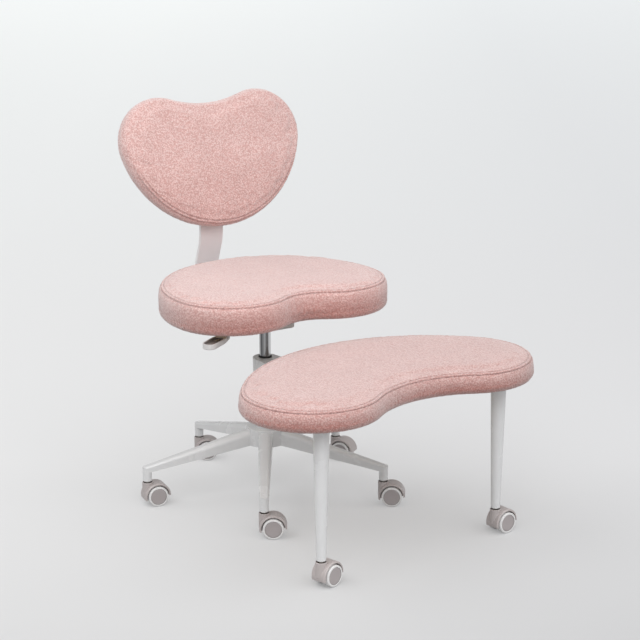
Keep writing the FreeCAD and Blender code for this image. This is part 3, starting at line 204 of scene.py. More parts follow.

# %% [markdown]
# ## Curly cloth
# The cushions wear a teddy cloth: short looped pile, pale pink, with darker hollows between the curls.
# Real curls would be a million hairs. Two textures stand for them. Voronoi cells make the tufts, each
# pale in its middle and deeper at its rim. Between them run curls, drawn by the height lines of a noise:
# a sine of a noise value makes closed rings and worms of even width, as such pile looks from a step away.
# Both raise the surface. Sheen adds the pale bloom that a pile shows where it is seen at a flat angle.
# The cushions carry two attributes, both painted shade: seam darkens the cloth down in the sewn grooves, broken
# here and there by the pile that lies over them, and the other says how much painted shade deepens the cloth's
# tone, mostly towards the underside. It may go beyond one.

# %% Cloth material
pink = (0.905, 0.585, 0.548)
curl_rings = 36.0
tuft_share = 0.72
pile_tones = [(0.04, (0.66, 0.37, 0.335)), (0.34, shade(pink, 0.945)), (0.8, (1.0, 0.78, 0.74))]
cloud_tones = [(texture_low, (0.93, 0.92, 0.92)), (texture_high, white)]
# The darker, greyer colour that the painted shade multiplies the cloth towards.
painted_shade_filter = (0.66, 0.54, 0.52, 1)
# The deep colour of the painted shade down in the sewn grooves.
groove_shade_colour = (0.26, 0.11, 0.098, 1)

cloth, tree, shader = finish("pink_curly_cloth", pink, 0.95, Sheen_Weight=1.0, Sheen_Roughness=0.5)
plug(tree, shader, {"Sheen Tint": (1.0, 0.94, 0.93, 1), "Specular IOR Level": 0.15})
place = object_place(tree)
field = noise_field(tree, place, 165, 1.5, Roughness=0.45, Distortion=0.9)
wave = compute(tree, "SINE", compute(tree, "MULTIPLY", field, curl_rings))
curl = remap(tree, wave, -1.0, 1.0)
tuft = add(tree, "ShaderNodeTexVoronoi", {"Vector": place, "Scale": 275})
tuft_height = remap(tree, tuft.outputs["Distance"], 0.1, 0.62, 1.0, 0.0)
pile = add(tree, "ShaderNodeMix", {0: tuft_share, 2: curl, 3: tuft_height}, data_type="FLOAT").outputs[0]
cloud = noise_field(tree, place, 16, 3)
patchy = blend(tree, 1.0, ramp(tree, pile, pile_tones), ramp(tree, cloud, cloud_tones), "MULTIPLY")
# Painted shade: the second attribute multiplies the cloth towards that colour, mostly towards the underside.
painted_shade = add(tree, "ShaderNodeAttribute", attribute_name="painted_shade").outputs["Fac"]
shaded_cloth = blend(tree, painted_shade, patchy, painted_shade_filter, "MULTIPLY", clamp_factor=False)
# Painted shade in the sewn grooves: the seam attribute mixes the cloth towards a deep colour, broken by a noise.
seam = add(tree, "ShaderNodeAttribute", attribute_name="seam").outputs["Fac"]
gaps = noise_field(tree, place, 210, 1)
groove_shade = compute(tree, "MULTIPLY", seam, spread(tree, gaps, 0.35, 1.0))
plug(tree, shader, {"Base Color": blend(tree, groove_shade, shaded_cloth, groove_shade_colour)})
bumps(tree, shader, pile, 0.8, 0.0016)
print("cloth nodes:", len(tree.nodes))

# %% [markdown]
# ## Thread
# The thread of the seams is a twisted cotton in the cloth's colour, painted a little darker as shade, because it
# lies in a groove. A fine wave along it stands for the twist.

# %% Thread material
# Both tones are darkened by painted shade; the wave between them is the twist.
thread_tones = [(0.0, shade(pink, 0.5)), (1.0, shade(pink, 0.72))]
thread, tree, shader = finish("pink_thread", shade(pink, 0.62), 0.8, Sheen_Weight=0.2)
twist_values = {"Vector": object_place(tree), "Scale": 900, "Distortion": 2.0}
twist = add(tree, "ShaderNodeTexWave", twist_values, bands_direction="DIAGONAL")
plug(tree, shader, {"Base Color": ramp(tree, twist.outputs["Fac"], thread_tones)})
print("thread ready")

# %% [markdown]
# ## Paints, plastics and metals
# Painted steel has a faint orange-peel skin and gloss that changes a little from place to place. Moulded
# plastic has a fine spark-eroded grain. One function makes all of them, because they differ only in
# colour, gloss, and how coarse and deep the skin is.

# %% Hard finishes
skin_bump = 0.25


def skin(name, colour, roughness, grain, depth, mottle=0.04, **shader_values):
    """A hard finish: mottled tone, uneven gloss and a fine grain."""
    material, tree, shader = finish(name, colour, roughness, **shader_values)
    place = object_place(tree)
    broad = noise_field(tree, place, 22, 4)
    tones = [(texture_low, shade(colour, 1 - mottle)), (texture_high, shade(colour, 1 + mottle * 0.5))]
    gloss = spread(tree, broad, roughness * 0.85, roughness * 1.2)
    plug(tree, shader, {"Base Color": ramp(tree, broad, tones), "Roughness": gloss})
    bumps(tree, shader, noise_field(tree, place, grain, 2), skin_bump, depth)
    return material


hard = {
    "white_paint": skin("white_gloss_paint", (0.78, 0.78, 0.783), 0.24, 500, 0.0003, 0.02, Coat_Weight=0.35),
    "bar_paint": skin("pale_bar_paint", (0.95, 0.925, 0.93), 0.38, 700, 0.0003, 0.03, Coat_Weight=0.15),
    "plate_paint": skin("plate_paint", (0.66, 0.655, 0.65), 0.4, 600, 0.0004, 0.04),
    "black_plastic": skin("black_plastic", (0.018, 0.018, 0.019), 0.42, 1200, 0.0004, 0.1),
    "bush_plastic": skin("bush_plastic", (0.68, 0.66, 0.63), 0.5, 1200, 0.0004),
    "taupe_plastic": skin("taupe_plastic", (0.52, 0.47, 0.46), 0.36, 1600, 0.0004, 0.05),
    "tread_white": skin("tread_white", (0.84, 0.83, 0.825), 0.34, 1400, 0.0003, 0.03),
    "steel": skin("bright_steel", (0.40, 0.385, 0.36), 0.28, 900, 0.0003, 0.1, Metallic=1.0),
}
disc_plastic = skin("disc_taupe", (0.44, 0.397, 0.397), 0.4, 1600, 0.0004, 0.04)
# Painted shade: a darker copy of the disc's taupe, for the shade in the gap between tread and disc.
gap_painted_shade = skin("gap_shaded_taupe", (0.20, 0.18, 0.18), 0.6, 1200, 0.0004, 0.1)
print("hard finishes:", len(hard) + 2)

# %% [markdown]
# ## Chrome
# Drawn and plated tube keeps faint streaks along its length, and they break up what it mirrors. A noise that is
# fine across the tube and hardly changes along it draws them, in the gloss and in the base colour; in the colour
# they run from near black to pale grey, a painted reflection of dark and bright surroundings.

# %% Chrome material
# Painted reflection: dark and bright bands in the metal's colour.
chrome_painted_reflection_tones = [(0.36, (0.10, 0.10, 0.105)), (0.5, (0.36, 0.36, 0.365)), (0.62, grey(0.66))]
chrome, tree, shader = finish("chrome", (0.5, 0.5, 0.51), 0.13, Metallic=1.0)
stretch = add(tree, "ShaderNodeMapping", {"Vector": object_place(tree), "Scale": (1.0, 1.0, 0.01)})
streak = noise_field(tree, stretch.outputs["Vector"], 95, 3, Roughness=0.6)
streak_gloss = spread(tree, streak, 0.10, 0.18)
plug(tree, shader, {"Base Color": ramp(tree, streak, chrome_painted_reflection_tones), "Roughness": streak_gloss})
hard["chrome"] = chrome
print("chrome ready")

# %% [markdown]
# ## The lever's paddle
# The paddle is moulded in pale plastic, and its dished top is painted a darker taupe as the shade in the recess.
# Both are one solid, so the colour follows the shape: the object's coordinates are turned until x runs along the
# lever, and a point is dark where it lies inside the dish's outline and below the rim.

# %% Paddle material
paddle_colour = (0.66, 0.645, 0.635)
# Painted shade: the dish is darker than the pale plastic around it.
dish_shade_tones = [(0.0, paddle_colour), (1.0, (0.27, 0.24, 0.235))]
lever_turn = math.radians(-212.6)
dish_end = (0.2915, 0.0, 0.4582)
dish_radius = 0.01385
dish_depth = 0.0026

paddle, tree, shader = finish("handle_plastic", paddle_colour, 0.4)
place = object_place(tree)
turned = add(tree, "ShaderNodeMapping", {"Vector": place, "Rotation": (0, 0, lever_turn)})
shift = {0: turned.outputs["Vector"], 1: dish_end}
shifted = add(tree, "ShaderNodeVectorMath", shift, operation="SUBTRACT")
axes = add(tree, "ShaderNodeSeparateXYZ", {"Vector": shifted.outputs["Vector"]})
past_end = compute(tree, "MAXIMUM", axes.outputs["X"], 0.0)
flat = add(tree, "ShaderNodeCombineXYZ", {"X": past_end, "Y": axes.outputs["Y"]})
from_spine = add(tree, "ShaderNodeVectorMath", {0: flat.outputs["Vector"]}, operation="LENGTH")
in_outline = compute(tree, "LESS_THAN", from_spine.outputs["Value"], dish_radius)
in_height = compute(tree, "COMPARE", axes.outputs["Z"], 0.0, dish_depth)
in_dish = compute(tree, "MULTIPLY", in_outline, in_height)
plug(tree, shader, {"Base Color": ramp(tree, in_dish, dish_shade_tones)})
bumps(tree, shader, noise_field(tree, place, 1400, 2), skin_bump, 0.0004)
hard["handle_plastic"] = paddle
print("paddle ready")

# %% [markdown]
# ## Plywood
# The boards inside the cushions are birch plywood. Only their outer faces show, from below and on the
# back of the backrest, so they get long face grain: a noise stretched along the board.

# %% Plywood material
wood_tones = [(0.3, (0.42, 0.27, 0.15)), (0.6, (0.60, 0.43, 0.26)), (0.8, (0.66, 0.50, 0.33))]
plywood, tree, shader = finish("birch_plywood", (0.55, 0.38, 0.22), 0.6)
stretch = add(tree, "ShaderNodeMapping", {"Vector": object_place(tree), "Scale": (6.0, 120.0, 120.0)})
grain = noise_field(tree, stretch.outputs["Vector"], 1.0, 6, Distortion=0.6)
plug(tree, shader, {"Base Color": ramp(tree, grain, wood_tones)})
hard["plywood"] = plywood
print("plywood ready")

# %% [markdown]
# ## Dress the CAD nodes
# Hard parts keep their CAD shape. The record of the part says which finish each node has, so its material
# goes into the node's own slot. The meshes are not touched.

# %% CAD materials
painted = 0
for part in frame["record"]["subparts"]:
    material = hard.get(part["material_slot"])
    if material is None:
        continue
    slots = nodes[part["node"]].data.materials
    slots.clear()
    slots.append(material)
    painted += 1
print("CAD nodes with a finish:", painted)

# %% [markdown]
# ## The cushions' outlines
# Seat, leg rest and backrest share one family of outline: two round lobes, a hollow between them on one
# side and a wide curve on the other, all arcs that run into each other. Knowing that outline as a formula
# lets each point of a cushion be described by how far it lies inside the outline and how high it is.
# Seams and stitches then follow the edge exactly, without picking a single vertex by hand.

# %% Outline formulas
class Outline:
    """Two lobes, a notch towards -y and a wide back, all tangent arcs, in metres."""

    def __init__(self, lobe_x, lobe_y, lobe_radius, notch_ahead, back_ahead):
        self.lobe = (lobe_x, lobe_y)
        self.lobe_radius = lobe_radius
        self.notch_y = lobe_y - notch_ahead
        self.back_y = lobe_y - back_ahead
        self.notch_radius = math.hypot(lobe_x, notch_ahead) - lobe_radius
        self.back_radius = math.hypot(lobe_x, back_ahead) + lobe_radius
        self.notch_angle = math.atan2(notch_ahead, lobe_x)
        self.back_angle = math.atan2(back_ahead, lobe_x)

    def inside(self, x, y):
        """How far inside the edge each plan point lies."""
        x = np.abs(x)
        lobe_x, lobe_y = self.lobe
        by_lobe = self.lobe_radius - np.hypot(x - lobe_x, y - lobe_y)
        by_notch = np.hypot(x, y - self.notch_y) - self.notch_radius
        by_back = self.back_radius - np.hypot(x, y - self.back_y)
        in_notch = (y - self.notch_y) * math.cos(self.notch_angle) > x * math.sin(self.notch_angle)
        in_back = (y - self.back_y) * math.cos(self.back_angle) > x * math.sin(self.back_angle)
        near_back = np.where(in_back, by_back, by_lobe)
        near_notch = np.where(in_back, np.minimum(by_notch, by_back), by_notch)
        return np.where(in_notch, near_notch, near_back)

    def walk(self, inset, step):
        """Points round the outline, drawn in by inset."""
        lobe_x, lobe_y = self.lobe
        notch, back = self.notch_angle, self.back_angle
        lobe_radius = self.lobe_radius - inset
        arcs = [
            (0, self.notch_y, self.notch_radius + inset, math.pi - notch, notch),
            (lobe_x, lobe_y, lobe_radius, math.pi + notch, math.tau + back),
            (0, self.back_y, self.back_radius - inset, back, math.pi - back),
            (-lobe_x, lobe_y, lobe_radius, math.pi - back, math.tau - notch),
        ]
        spots = []
        for centre_x, centre_y, radius, start, end in arcs:
            count = max(4, round(abs(end - start) * radius / step))
            for angle in np.linspace(start, end, count, endpoint=False):
                spots.append((centre_x + radius * math.cos(angle), centre_y + radius * math.sin(angle)))
        return spots

    def at(self, bearing):
        """The edge point that lies in one direction from between the lobes, in degrees from +x."""
        aim = math.radians(bearing)
        spots = self.walk(0.0, 0.001)

        def off_aim(spot):
            bearing_here = math.atan2(spot[1] - self.lobe[1], spot[0])
            return abs(math.remainder(bearing_here - aim, math.tau))

        return min(spots, key=off_aim)


seat_line = Outline(0.1352, -0.0682, 0.150, 0.2044, -0.0123)
rest_line = Outline(0.2238, -0.476, 0.1623, 0.344, 0.168)
back_line = Outline(0.1383, 0.0, 0.1147, 0.390, 0.0344)
for label, line in (("seat", seat_line), ("rest", rest_line), ("back", back_line)):
    print(label, "edge points 20 mm apart:", len(line.walk(0.0, 0.02)))

# %% [markdown]
# ## Three cushions, described
# Each cushion has its own frame: the seat lies as drawn, the leg rest is turned a few degrees round the column,
# and the backrest stands up and leans, so that its y runs down. Heights are counted from the main seam towards the
# padded face, so the same rules sew all three. A side seam closes the band of cloth round the edge. The double
# seam goes all round the two seats. On the backrest it comes out gradually down the lower half, between the two
# values of sewn_from. Three numbers set the painted shade that darkens the cloth, so that the seat and the leg
# rest come out darker than the backrest: tone is the least of it anywhere on the cushion, the next is what the
# side has at its foot, and the last is added where the double seam shows.

# %% Cushion table
lean = math.radians(-106.5)
cushions = {
    "seat": dict(
        node="seat_cushion",
        line=seat_line,
        frame=Matrix.Identity(4),
        face=1.0,
        seam=0.5465,
        depth=0.0685,
        side_seams=[seat_line.at(90)],
        sewn_from=None,
        tone=0.13,
        foot_shade=1.12,
        sewn_shade=0.0,
        body="seat",
    ),
    "rest": dict(
        node="rest_cushion",
        line=rest_line,
        frame=Matrix.Rotation(math.radians(4.8), 4, "Z"),
        face=1.0,
        seam=0.424,
        depth=0.046,
        side_seams=[rest_line.at(185), rest_line.at(-5)],
        sewn_from=None,
        tone=0.47,
        foot_shade=1.3,
        sewn_shade=0.0,
        body="leg_rest",
    ),
    "back": dict(
        node="back_cushion",
        line=back_line,
        frame=Matrix.Translation((0, 0.233, 0.860)) @ Matrix.Rotation(lean, 4, "X"),
        face=-1.0,
        seam=0.0,
        depth=0.048,
        side_seams=[back_line.at(90)],
        sewn_from=(0.03, 0.12),
        tone=0.0,
        foot_shade=0.0,
        sewn_shade=0.25,
        body="seat",
    ),
}


def section(cushion, points):
    """Inset and height of each point, and its plan position in the cushion's own frame."""
    back = np.array(cushion["frame"].inverted())
    local = points @ back[:3, :3].T + back[:3, 3]
    height = cushion["face"] * local[:, 2] - cushion["seam"]
    return cushion["line"].inside(local[:, 0], local[:, 1]), height, local


def sewn_share(cushion, y):
    """How much of the double seam shows at each place along y in the cushion's own frame."""
    if cushion["sewn_from"] is None:
        return np.ones_like(y)
    none_at, full_at = cushion["sewn_from"]
    share = np.clip((y - none_at) / (full_at - none_at), 0.0, 1.0)
    return share * share * (3 - 2 * share)


print("cushions:", ", ".join(cushions))

# %% [markdown]
# ## Stuff the cushions
# A foam cushion under stretched cloth is never flat: the cloth is pulled over the edge and the foam
# pushes back. The CAD solid is copied and remeshed into even 5 mm squares, and then blown up by a cloth
# simulation with air pressure, while its underside is held on the board. Foam gives only a few
# millimetres and its volume stays, so the swelling is counted from its own middle value and capped. One
# subdivision then smooths the squares away. Before anything moves, each vertex notes how far inside the
# outline and how high it lies. These two numbers travel with the mesh as attributes, so the seams are
# still found after the cloth has moved.

# %% Mesh helpers
def vectors_of(mesh, what):
    """The vertices' places (co) or normals (normal), one row each."""
    flat = np.empty(len(mesh.vertices) * 3, np.float32)
    mesh.vertices.foreach_get(what, flat)
    return flat.reshape(-1, 3).astype(float)


def put_points(mesh, points):
    mesh.vertices.foreach_set("co", points.astype(np.float32).ravel())
    mesh.update()


def note(mesh, name, values):
    """Keep one number for each vertex."""
    mesh.attributes.new(name, "FLOAT", "POINT").data.foreach_set("value", values.astype(np.float32))


def noted(mesh, name):
    values = np.empty(len(mesh.vertices), np.float32)
    mesh.attributes[name].data.foreach_get("value", values)
    return values.astype(float)


def evaluated_mesh(piece):
    """The piece as its modifiers show it now, as a new plain mesh."""
    graph = bpy.context.evaluated_depsgraph_get()
    return bpy.data.meshes.new_from_object(piece.evaluated_get(graph), depsgraph=graph)


def bake(piece):
    """Turn the modifiers into plain mesh and take them off."""
    mesh = evaluated_mesh(piece)
    piece.modifiers.clear()
    old = piece.data
    piece.data = mesh
    bpy.data.meshes.remove(old)


def even_copy(node, name, size):
    """A copy of a CAD solid in even squares."""
    mesh = nodes[node].data.copy()
    work = bmesh.new()
    work.from_mesh(mesh)
    bmesh.ops.remove_doubles(work, verts=work.verts, dist=0.00002)
    work.to_mesh(mesh)
    work.free()
    piece = new_object(name, mesh)
    remesh = piece.modifiers.new("even squares", "REMESH")
    remesh.mode = "VOXEL"
    remesh.voxel_size = size
    bake(piece)
    piece.data.materials.clear()
    return piece


print("mesh helpers ready")

# %% Stuffing
square_size = 0.005
held_rim = 0.016
swelling_cap = 0.002
last_frame = 20
stuffing_rules = dict(
    quality=6,
    mass=0.3,
    tension_stiffness=18,
    compression_stiffness=18,
    shear_stiffness=8,
    bending_stiffness=1.5,
    vertex_group_mass="held",
    use_pressure=True,
    uniform_pressure_force=4,
)


def plump(piece, cushion, cap):
    """Blow the cushion up a little under its cloth, with its underside held."""
    mesh = piece.data
    start = vectors_of(mesh, "co")
    normals = vectors_of(mesh, "normal")
    held = noted(mesh, "height") < -cushion["depth"] + held_rim
    group = piece.vertex_groups.new(name="held")
    group.add([int(i) for i in np.nonzero(held)[0]], 1.0, "REPLACE")
    cloth_sim = piece.modifiers.new("stuffing", "CLOTH")
    for rule, value in stuffing_rules.items():
        setattr(cloth_sim.settings, rule, value)
    cloth_sim.settings.effector_weights.gravity = 0
    cloth_sim.collision_settings.use_collision = False
    cloth_sim.collision_settings.use_self_collision = False
    cloth_sim.point_cache.frame_start = 1
    cloth_sim.point_cache.frame_end = last_frame
    for step in range(1, last_frame + 1):
        bpy.context.scene.frame_set(step)
    swollen = evaluated_mesh(piece)
    swelling = ((vectors_of(swollen, "co") - start) * normals).sum(axis=1)
    bpy.data.meshes.remove(swollen)
    piece.modifiers.clear()
    piece.vertex_groups.clear()
    bpy.context.scene.frame_set(1)
    even = np.clip(swelling - np.median(swelling[~held]), -cap, cap)
    even[held] = 0.0
    put_points(mesh, start + normals * even[:, None])
    return float(swelling.max()), float(np.abs(even).mean())


for label, cushion in cushions.items():
    piece = even_copy(cushion["node"], label + "_cushion_soft", square_size)
    inset, height, _ = section(cushion, vectors_of(piece.data, "co"))
    note(piece.data, "inset", inset)
    note(piece.data, "height", height)
    reach, mean = plump(piece, cushion, swelling_cap)
    print(label, "swelled", round(reach * 1000, 1), "mm at most,", round(mean * 1000, 2), "mm kept")
    smooth = piece.modifiers.new("smooth squares", "SUBSURF")
    smooth.levels = 1
    smooth.render_levels = 1
    bake(piece)
    cushion["piece"] = piece
    print(label, "faces", len(piece.data.polygons))

# %% [markdown]
# ## Sew the edges
# A strip of cloth runs round each cushion and is sewn to the top panel with a double seam about ten
# millimetres wide. The seam pulls the cloth down into two grooves, and the roll between them stands up.
# Squares near the seams are split once more so that the grooves are sharp. Each vertex moves along its normal by a
# bell curve of its distance from the seam, and a second bell curve, with a width of its own, is kept as the
# attribute seam: painted shade down in the grooves, for the cloth's colour. A fine noise then lifts the pile into
# clumps.

# %% Seam sizes
# dark and dark_width give the painted shade in each groove: how deep, and how wide.
Seam = namedtuple("Seam", "inset height depth width dark dark_width")
main_seam = Seam(inset=0.0056, height=-0.0002, depth=0.0019, width=0.0019, dark=0.9, dark_width=0.0018)
top_seam = Seam(inset=0.0136, height=0.0056, depth=0.0018, width=0.002, dark=0.85, dark_width=0.0026)
double_seam = (main_seam, top_seam)
roll_height, roll_width = 0.0011, 0.0034
side_depth, side_width = 0.0014, 0.0022
# The side seam's painted shade: how deep, and how wide.
side_groove_shade, side_groove_shade_width = 0.7, 0.0013
strip_top, strip_foot, strip_inset = -0.001, 0.002, 0.012
split_reach = 0.008
pile_clumps = [(0.0005, 140), (0.0004, 260)]
deepest_by = 1.5


def bell(distance, width):
    return np.exp(-((distance / width) ** 2))


def seam_distance(inset, height, seam):
    return np.hypot(inset - seam.inset, height - seam.height)


print("seams:", len(double_seam))


# %% Sewing
def split_near_seams(cushion):
    """Halve the squares round the double seam."""
    mesh = cushion["piece"].data
    inset = noted(mesh, "inset")
    height = noted(mesh, "height")
    nearest = np.minimum(*[seam_distance(inset, height, seam) for seam in double_seam])
    near = nearest < split_reach
    work = bmesh.new()
    work.from_mesh(mesh)
    edges = [edge for edge in work.edges if near[edge.verts[0].index] and near[edge.verts[1].index]]
    split = len(edges)
    bmesh.ops.subdivide_edges(work, edges=edges, cuts=1, use_grid_fill=True)
    work.to_mesh(mesh)
    work.free()
    return split


def sew(cushion):
    """Pull in the seams, roll up the cloth between them and raise the pile's clumps."""
    mesh = cushion["piece"].data
    points = vectors_of(mesh, "co")
    normals = vectors_of(mesh, "normal")
    local = section(cushion, points)[2]
    inset = noted(mesh, "inset")
    height = noted(mesh, "height")
    roll = (np.array(main_seam[:2]) + np.array(top_seam[:2])) / 2
    push = bell(np.hypot(inset - roll[0], height - roll[1]), roll_width) * roll_height
    # dark collects the painted shade in the grooves of the seams.
    dark = np.zeros_like(push)
    for seam in double_seam:
        distance = seam_distance(inset, height, seam)
        push -= bell(distance, seam.width) * seam.depth
        dark = np.maximum(dark, bell(distance, seam.dark_width) * seam.dark)
    shown = sewn_share(cushion, local[:, 1])
    push *= shown
    dark *= shown
    on_strip = (height < strip_top) & (height > -cushion["depth"] + strip_foot) & (inset < strip_inset)
    for spot_x, spot_y in cushion["side_seams"]:
        apart = np.hypot(local[:, 0] - spot_x, local[:, 1] - spot_y)
        apart = np.sqrt(np.maximum(apart**2 - inset**2, 0))
        push -= on_strip * bell(apart, side_width) * side_depth
        dark = np.maximum(dark, on_strip * bell(apart, side_groove_shade_width) * side_groove_shade)
    for i, point in enumerate(points):
        spot = Vector(point)
        push[i] += sum(rise * noise.noise(spot * scale) for rise, scale in pile_clumps)
    put_points(mesh, points + normals * push[:, None])
    note(mesh, "seam", dark)
    # Painted shade: deeper towards the foot of the side, a least amount over the whole cushion, and more where the
    # double seam shows.
    low = np.clip(height / -cushion["depth"] * deepest_by, 0.0, 1.0)
    note(mesh, "painted_shade", np.maximum(cushion["tone"], cushion["foot_shade"] * low) + cushion["sewn_shade"] * shown)
    for name in ("inset", "height"):
        mesh.attributes.remove(mesh.attributes[name])
    mesh.materials.append(cloth)
    mesh.shade_smooth()


for label, cushion in cushions.items():
    split = split_near_seams(cushion)
    sew(cushion)
    print(label, "edges split", split, "vertices", len(cushion["piece"].data.vertices))

# %% [markdown]
# ## Stitches
# Small stitches cross the main seam every few millimetres and draw the cloth together. They all look
# alike and follow a path, which is work for Geometry Nodes: a path of points along the groove becomes a
# curve, the curve is cut into equal steps, and a small grain-shaped stitch is set on each step, turned
# across the seam. The path is laid on the finished cloth by looking for the nearest point of the surface.

# %% Stitch tree
stitching = bpy.data.node_groups.new("seam_stitches", "GeometryNodeTree")
stitch_inputs = {
    "Path": "Geometry",
    "Step": "Float",
    "Stitch length": "Float",
    "Thickness": "Float",
    "Thread": "Material",
}
stitch_socket = {}
for label, kind in stitch_inputs.items():
    socket = stitching.interface.new_socket(name=label, in_out="INPUT", socket_type="NodeSocket" + kind)
    stitch_socket[label] = socket.identifier
stitching.interface.new_socket(name="Stitches", in_out="OUTPUT", socket_type="NodeSocketGeometry")
given = add(stitching, "NodeGroupInput").outputs
as_curve = add(stitching, "GeometryNodeMeshToCurve", {"Mesh": given["Path"]})
curve_values = {"Curve": as_curve.outputs["Curve"], "Length": given["Step"]}
steps = add(stitching, "GeometryNodeResampleCurve", curve_values, mode="LENGTH")
grain_shape = add(stitching, "GeometryNodeMeshUVSphere", {"Segments": 6, "Rings": 4, "Radius": 0.5})
size_values = {"X": given["Stitch length"], "Y": given["Thickness"], "Z": given["Thickness"]}
size = add(stitching, "ShaderNodeCombineXYZ", size_values)
across = add(stitching, "GeometryNodeInputNamedAttribute", {"Name": "across"}, data_type="FLOAT_VECTOR")
turn_values = {"Vector": across.outputs["Attribute"]}
turn = add(stitching, "FunctionNodeAlignRotationToVector", turn_values, axis="X")
stitch_values = {
    "Points": steps.outputs["Curve"],
    "Instance": grain_shape.outputs["Mesh"],
    "Rotation": turn.outputs["Rotation"],
    "Scale": size.outputs["Vector"],
}
set_stitches = add(stitching, "GeometryNodeInstanceOnPoints", stitch_values)
real = add(stitching, "GeometryNodeRealizeInstances", {"Geometry": set_stitches.outputs["Instances"]})
coat_values = {"Geometry": real.outputs["Geometry"], "Material": given["Thread"]}
coat = add(stitching, "GeometryNodeSetMaterial", coat_values)
add(stitching, "NodeGroupOutput", {"Stitches": coat.outputs["Geometry"]})
print("stitch tree nodes:", len(stitching.nodes))

# %% Stitches on the seams
path_step = 0.003
thread_lift = 0.0001
least_shown = 0.5
stitch_sizes = {"Step": 0.0042, "Stitch length": 0.0034, "Thickness": 0.0009, "Thread": thread}


def seam_path(cushion, seam):
    """Points on the cloth along one seam, each with its normal and how much of the seam shows there."""
    mesh = cushion["piece"].data
    surface = BVHTree.FromPolygons([v.co for v in mesh.vertices], [p.vertices for p in mesh.polygons])
    spots = []
    for x, y in cushion["line"].walk(seam.inset, path_step):
        aim = cushion["frame"] @ Vector((x, y, cushion["face"] * (cushion["seam"] + seam.height)))
        found, normal = surface.find_nearest(aim)[:2]
        spots.append((found + normal * thread_lift, normal, sewn_share(cushion, np.array([y]))[0]))
    return spots


def stitch(label, sewn_cushions, body):
    """All stitches of one body as one plain mesh."""
    verts, edges, directions = [], [], []
    for cushion in sewn_cushions:
        spots = seam_path(cushion, main_seam)
        first = len(verts)
        count = len(spots)
        for i, (point, normal, share) in enumerate(spots):
            j = (i + 1) % count
            along = spots[j][0] - spots[i - 1][0]
            verts.append(point)
            directions.extend(along.cross(normal).normalized())
            if share > least_shown and spots[j][2] > least_shown:
                edges.append((first + i, first + j))
    path = bpy.data.meshes.new(label)
    path.from_pydata(verts, edges, [])
    path.attributes.new("across", "FLOAT_VECTOR", "POINT").data.foreach_set("vector", directions)
    piece = new_object(label, path)
    maker = piece.modifiers.new("stitches", "NODES")
    maker.node_group = stitching
    for name, value in stitch_sizes.items():
        maker[stitch_socket[name]] = value
    bake(piece)
    piece.data.shade_smooth()
    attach(piece, body)
    return piece


seat_stitches = stitch("seat_stitches", [cushions["seat"], cushions["back"]], "seat")
rest_stitches = stitch("rest_stitches", [cushions["rest"]], "leg_rest")
for piece in (seat_stitches, rest_stitches):
    print(piece.name, "faces", len(piece.data.polygons))

# %% Cushions join the frame
for cushion in cushions.values():
    piece = cushion["piece"]
    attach(piece, cushion["body"])
    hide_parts(cushion["node"])
    print(piece.name, "rides on", cushion["body"])

# %% [markdown]
# ## Wheels
# Each caster has two wheels: a white tread with round shoulders and, let into its outer face behind a thin gap, a
# taupe disc with a shallow dish. The gap is painted dark, a shaded copy of the disc's taupe, as the shade down in
# it. A turned piece is a profile spun round the axle, so a short list of radius and width pairs, in millimetres,
# says all of it. The profile is spun in the mesh itself, at the place of each wheel. It starts at the bore for the
# axle and ends at the middle of the disc.

# %% Wheel profile
def rounded(centre_r, centre_a, radius, start, end, count):
    """Points of a rounded corner of the profile."""
    angles = np.radians(np.linspace(start, end, count))
    return [(centre_r + radius * math.cos(t), centre_a + radius * math.sin(t)) for t in angles]


tread_profile = [(3.3, 8.5), (14.0, 8.5)]
tread_profile += rounded(22.6, 10.9, 2.4, -90, 0, 7)
tread_profile += [(25.0, 14.0), (25.0, 17.5)]
tread_profile += rounded(22.6, 20.6, 2.4, 0, 90, 7)
tread_profile += rounded(20.5, 22.5, 0.5, 90, 180, 4)
gap_profile = [(20.0, 21.6), (19.6, 21.4)]
disc_profile = [(19.4, 21.6)] + rounded(18.8, 21.7, 0.6, 0, 80, 4)
disc_profile += [(16.5, 22.25), (12.0, 22.05), (8.0, 21.9), (4.0, 21.85), (0.0, 21.85)]
profile = tread_profile + gap_profile + disc_profile
gap_start = len(tread_profile) - 1
disc_start = len(tread_profile) + len(gap_profile) - 1
wheel_materials = (hard["tread_white"], gap_painted_shade, disc_plastic)
tread_slot, gap_slot, disc_slot = range(3)
around = 80
bore_length = 0.011
bore_tip = 0.0195
print("profile points:", len(profile))


# %% Wheels
def slot_of(k):
    """Which plastic the profile's stretch after point k has."""
    if k < gap_start:
        return tread_slot
    return gap_slot if k < disc_start else disc_slot


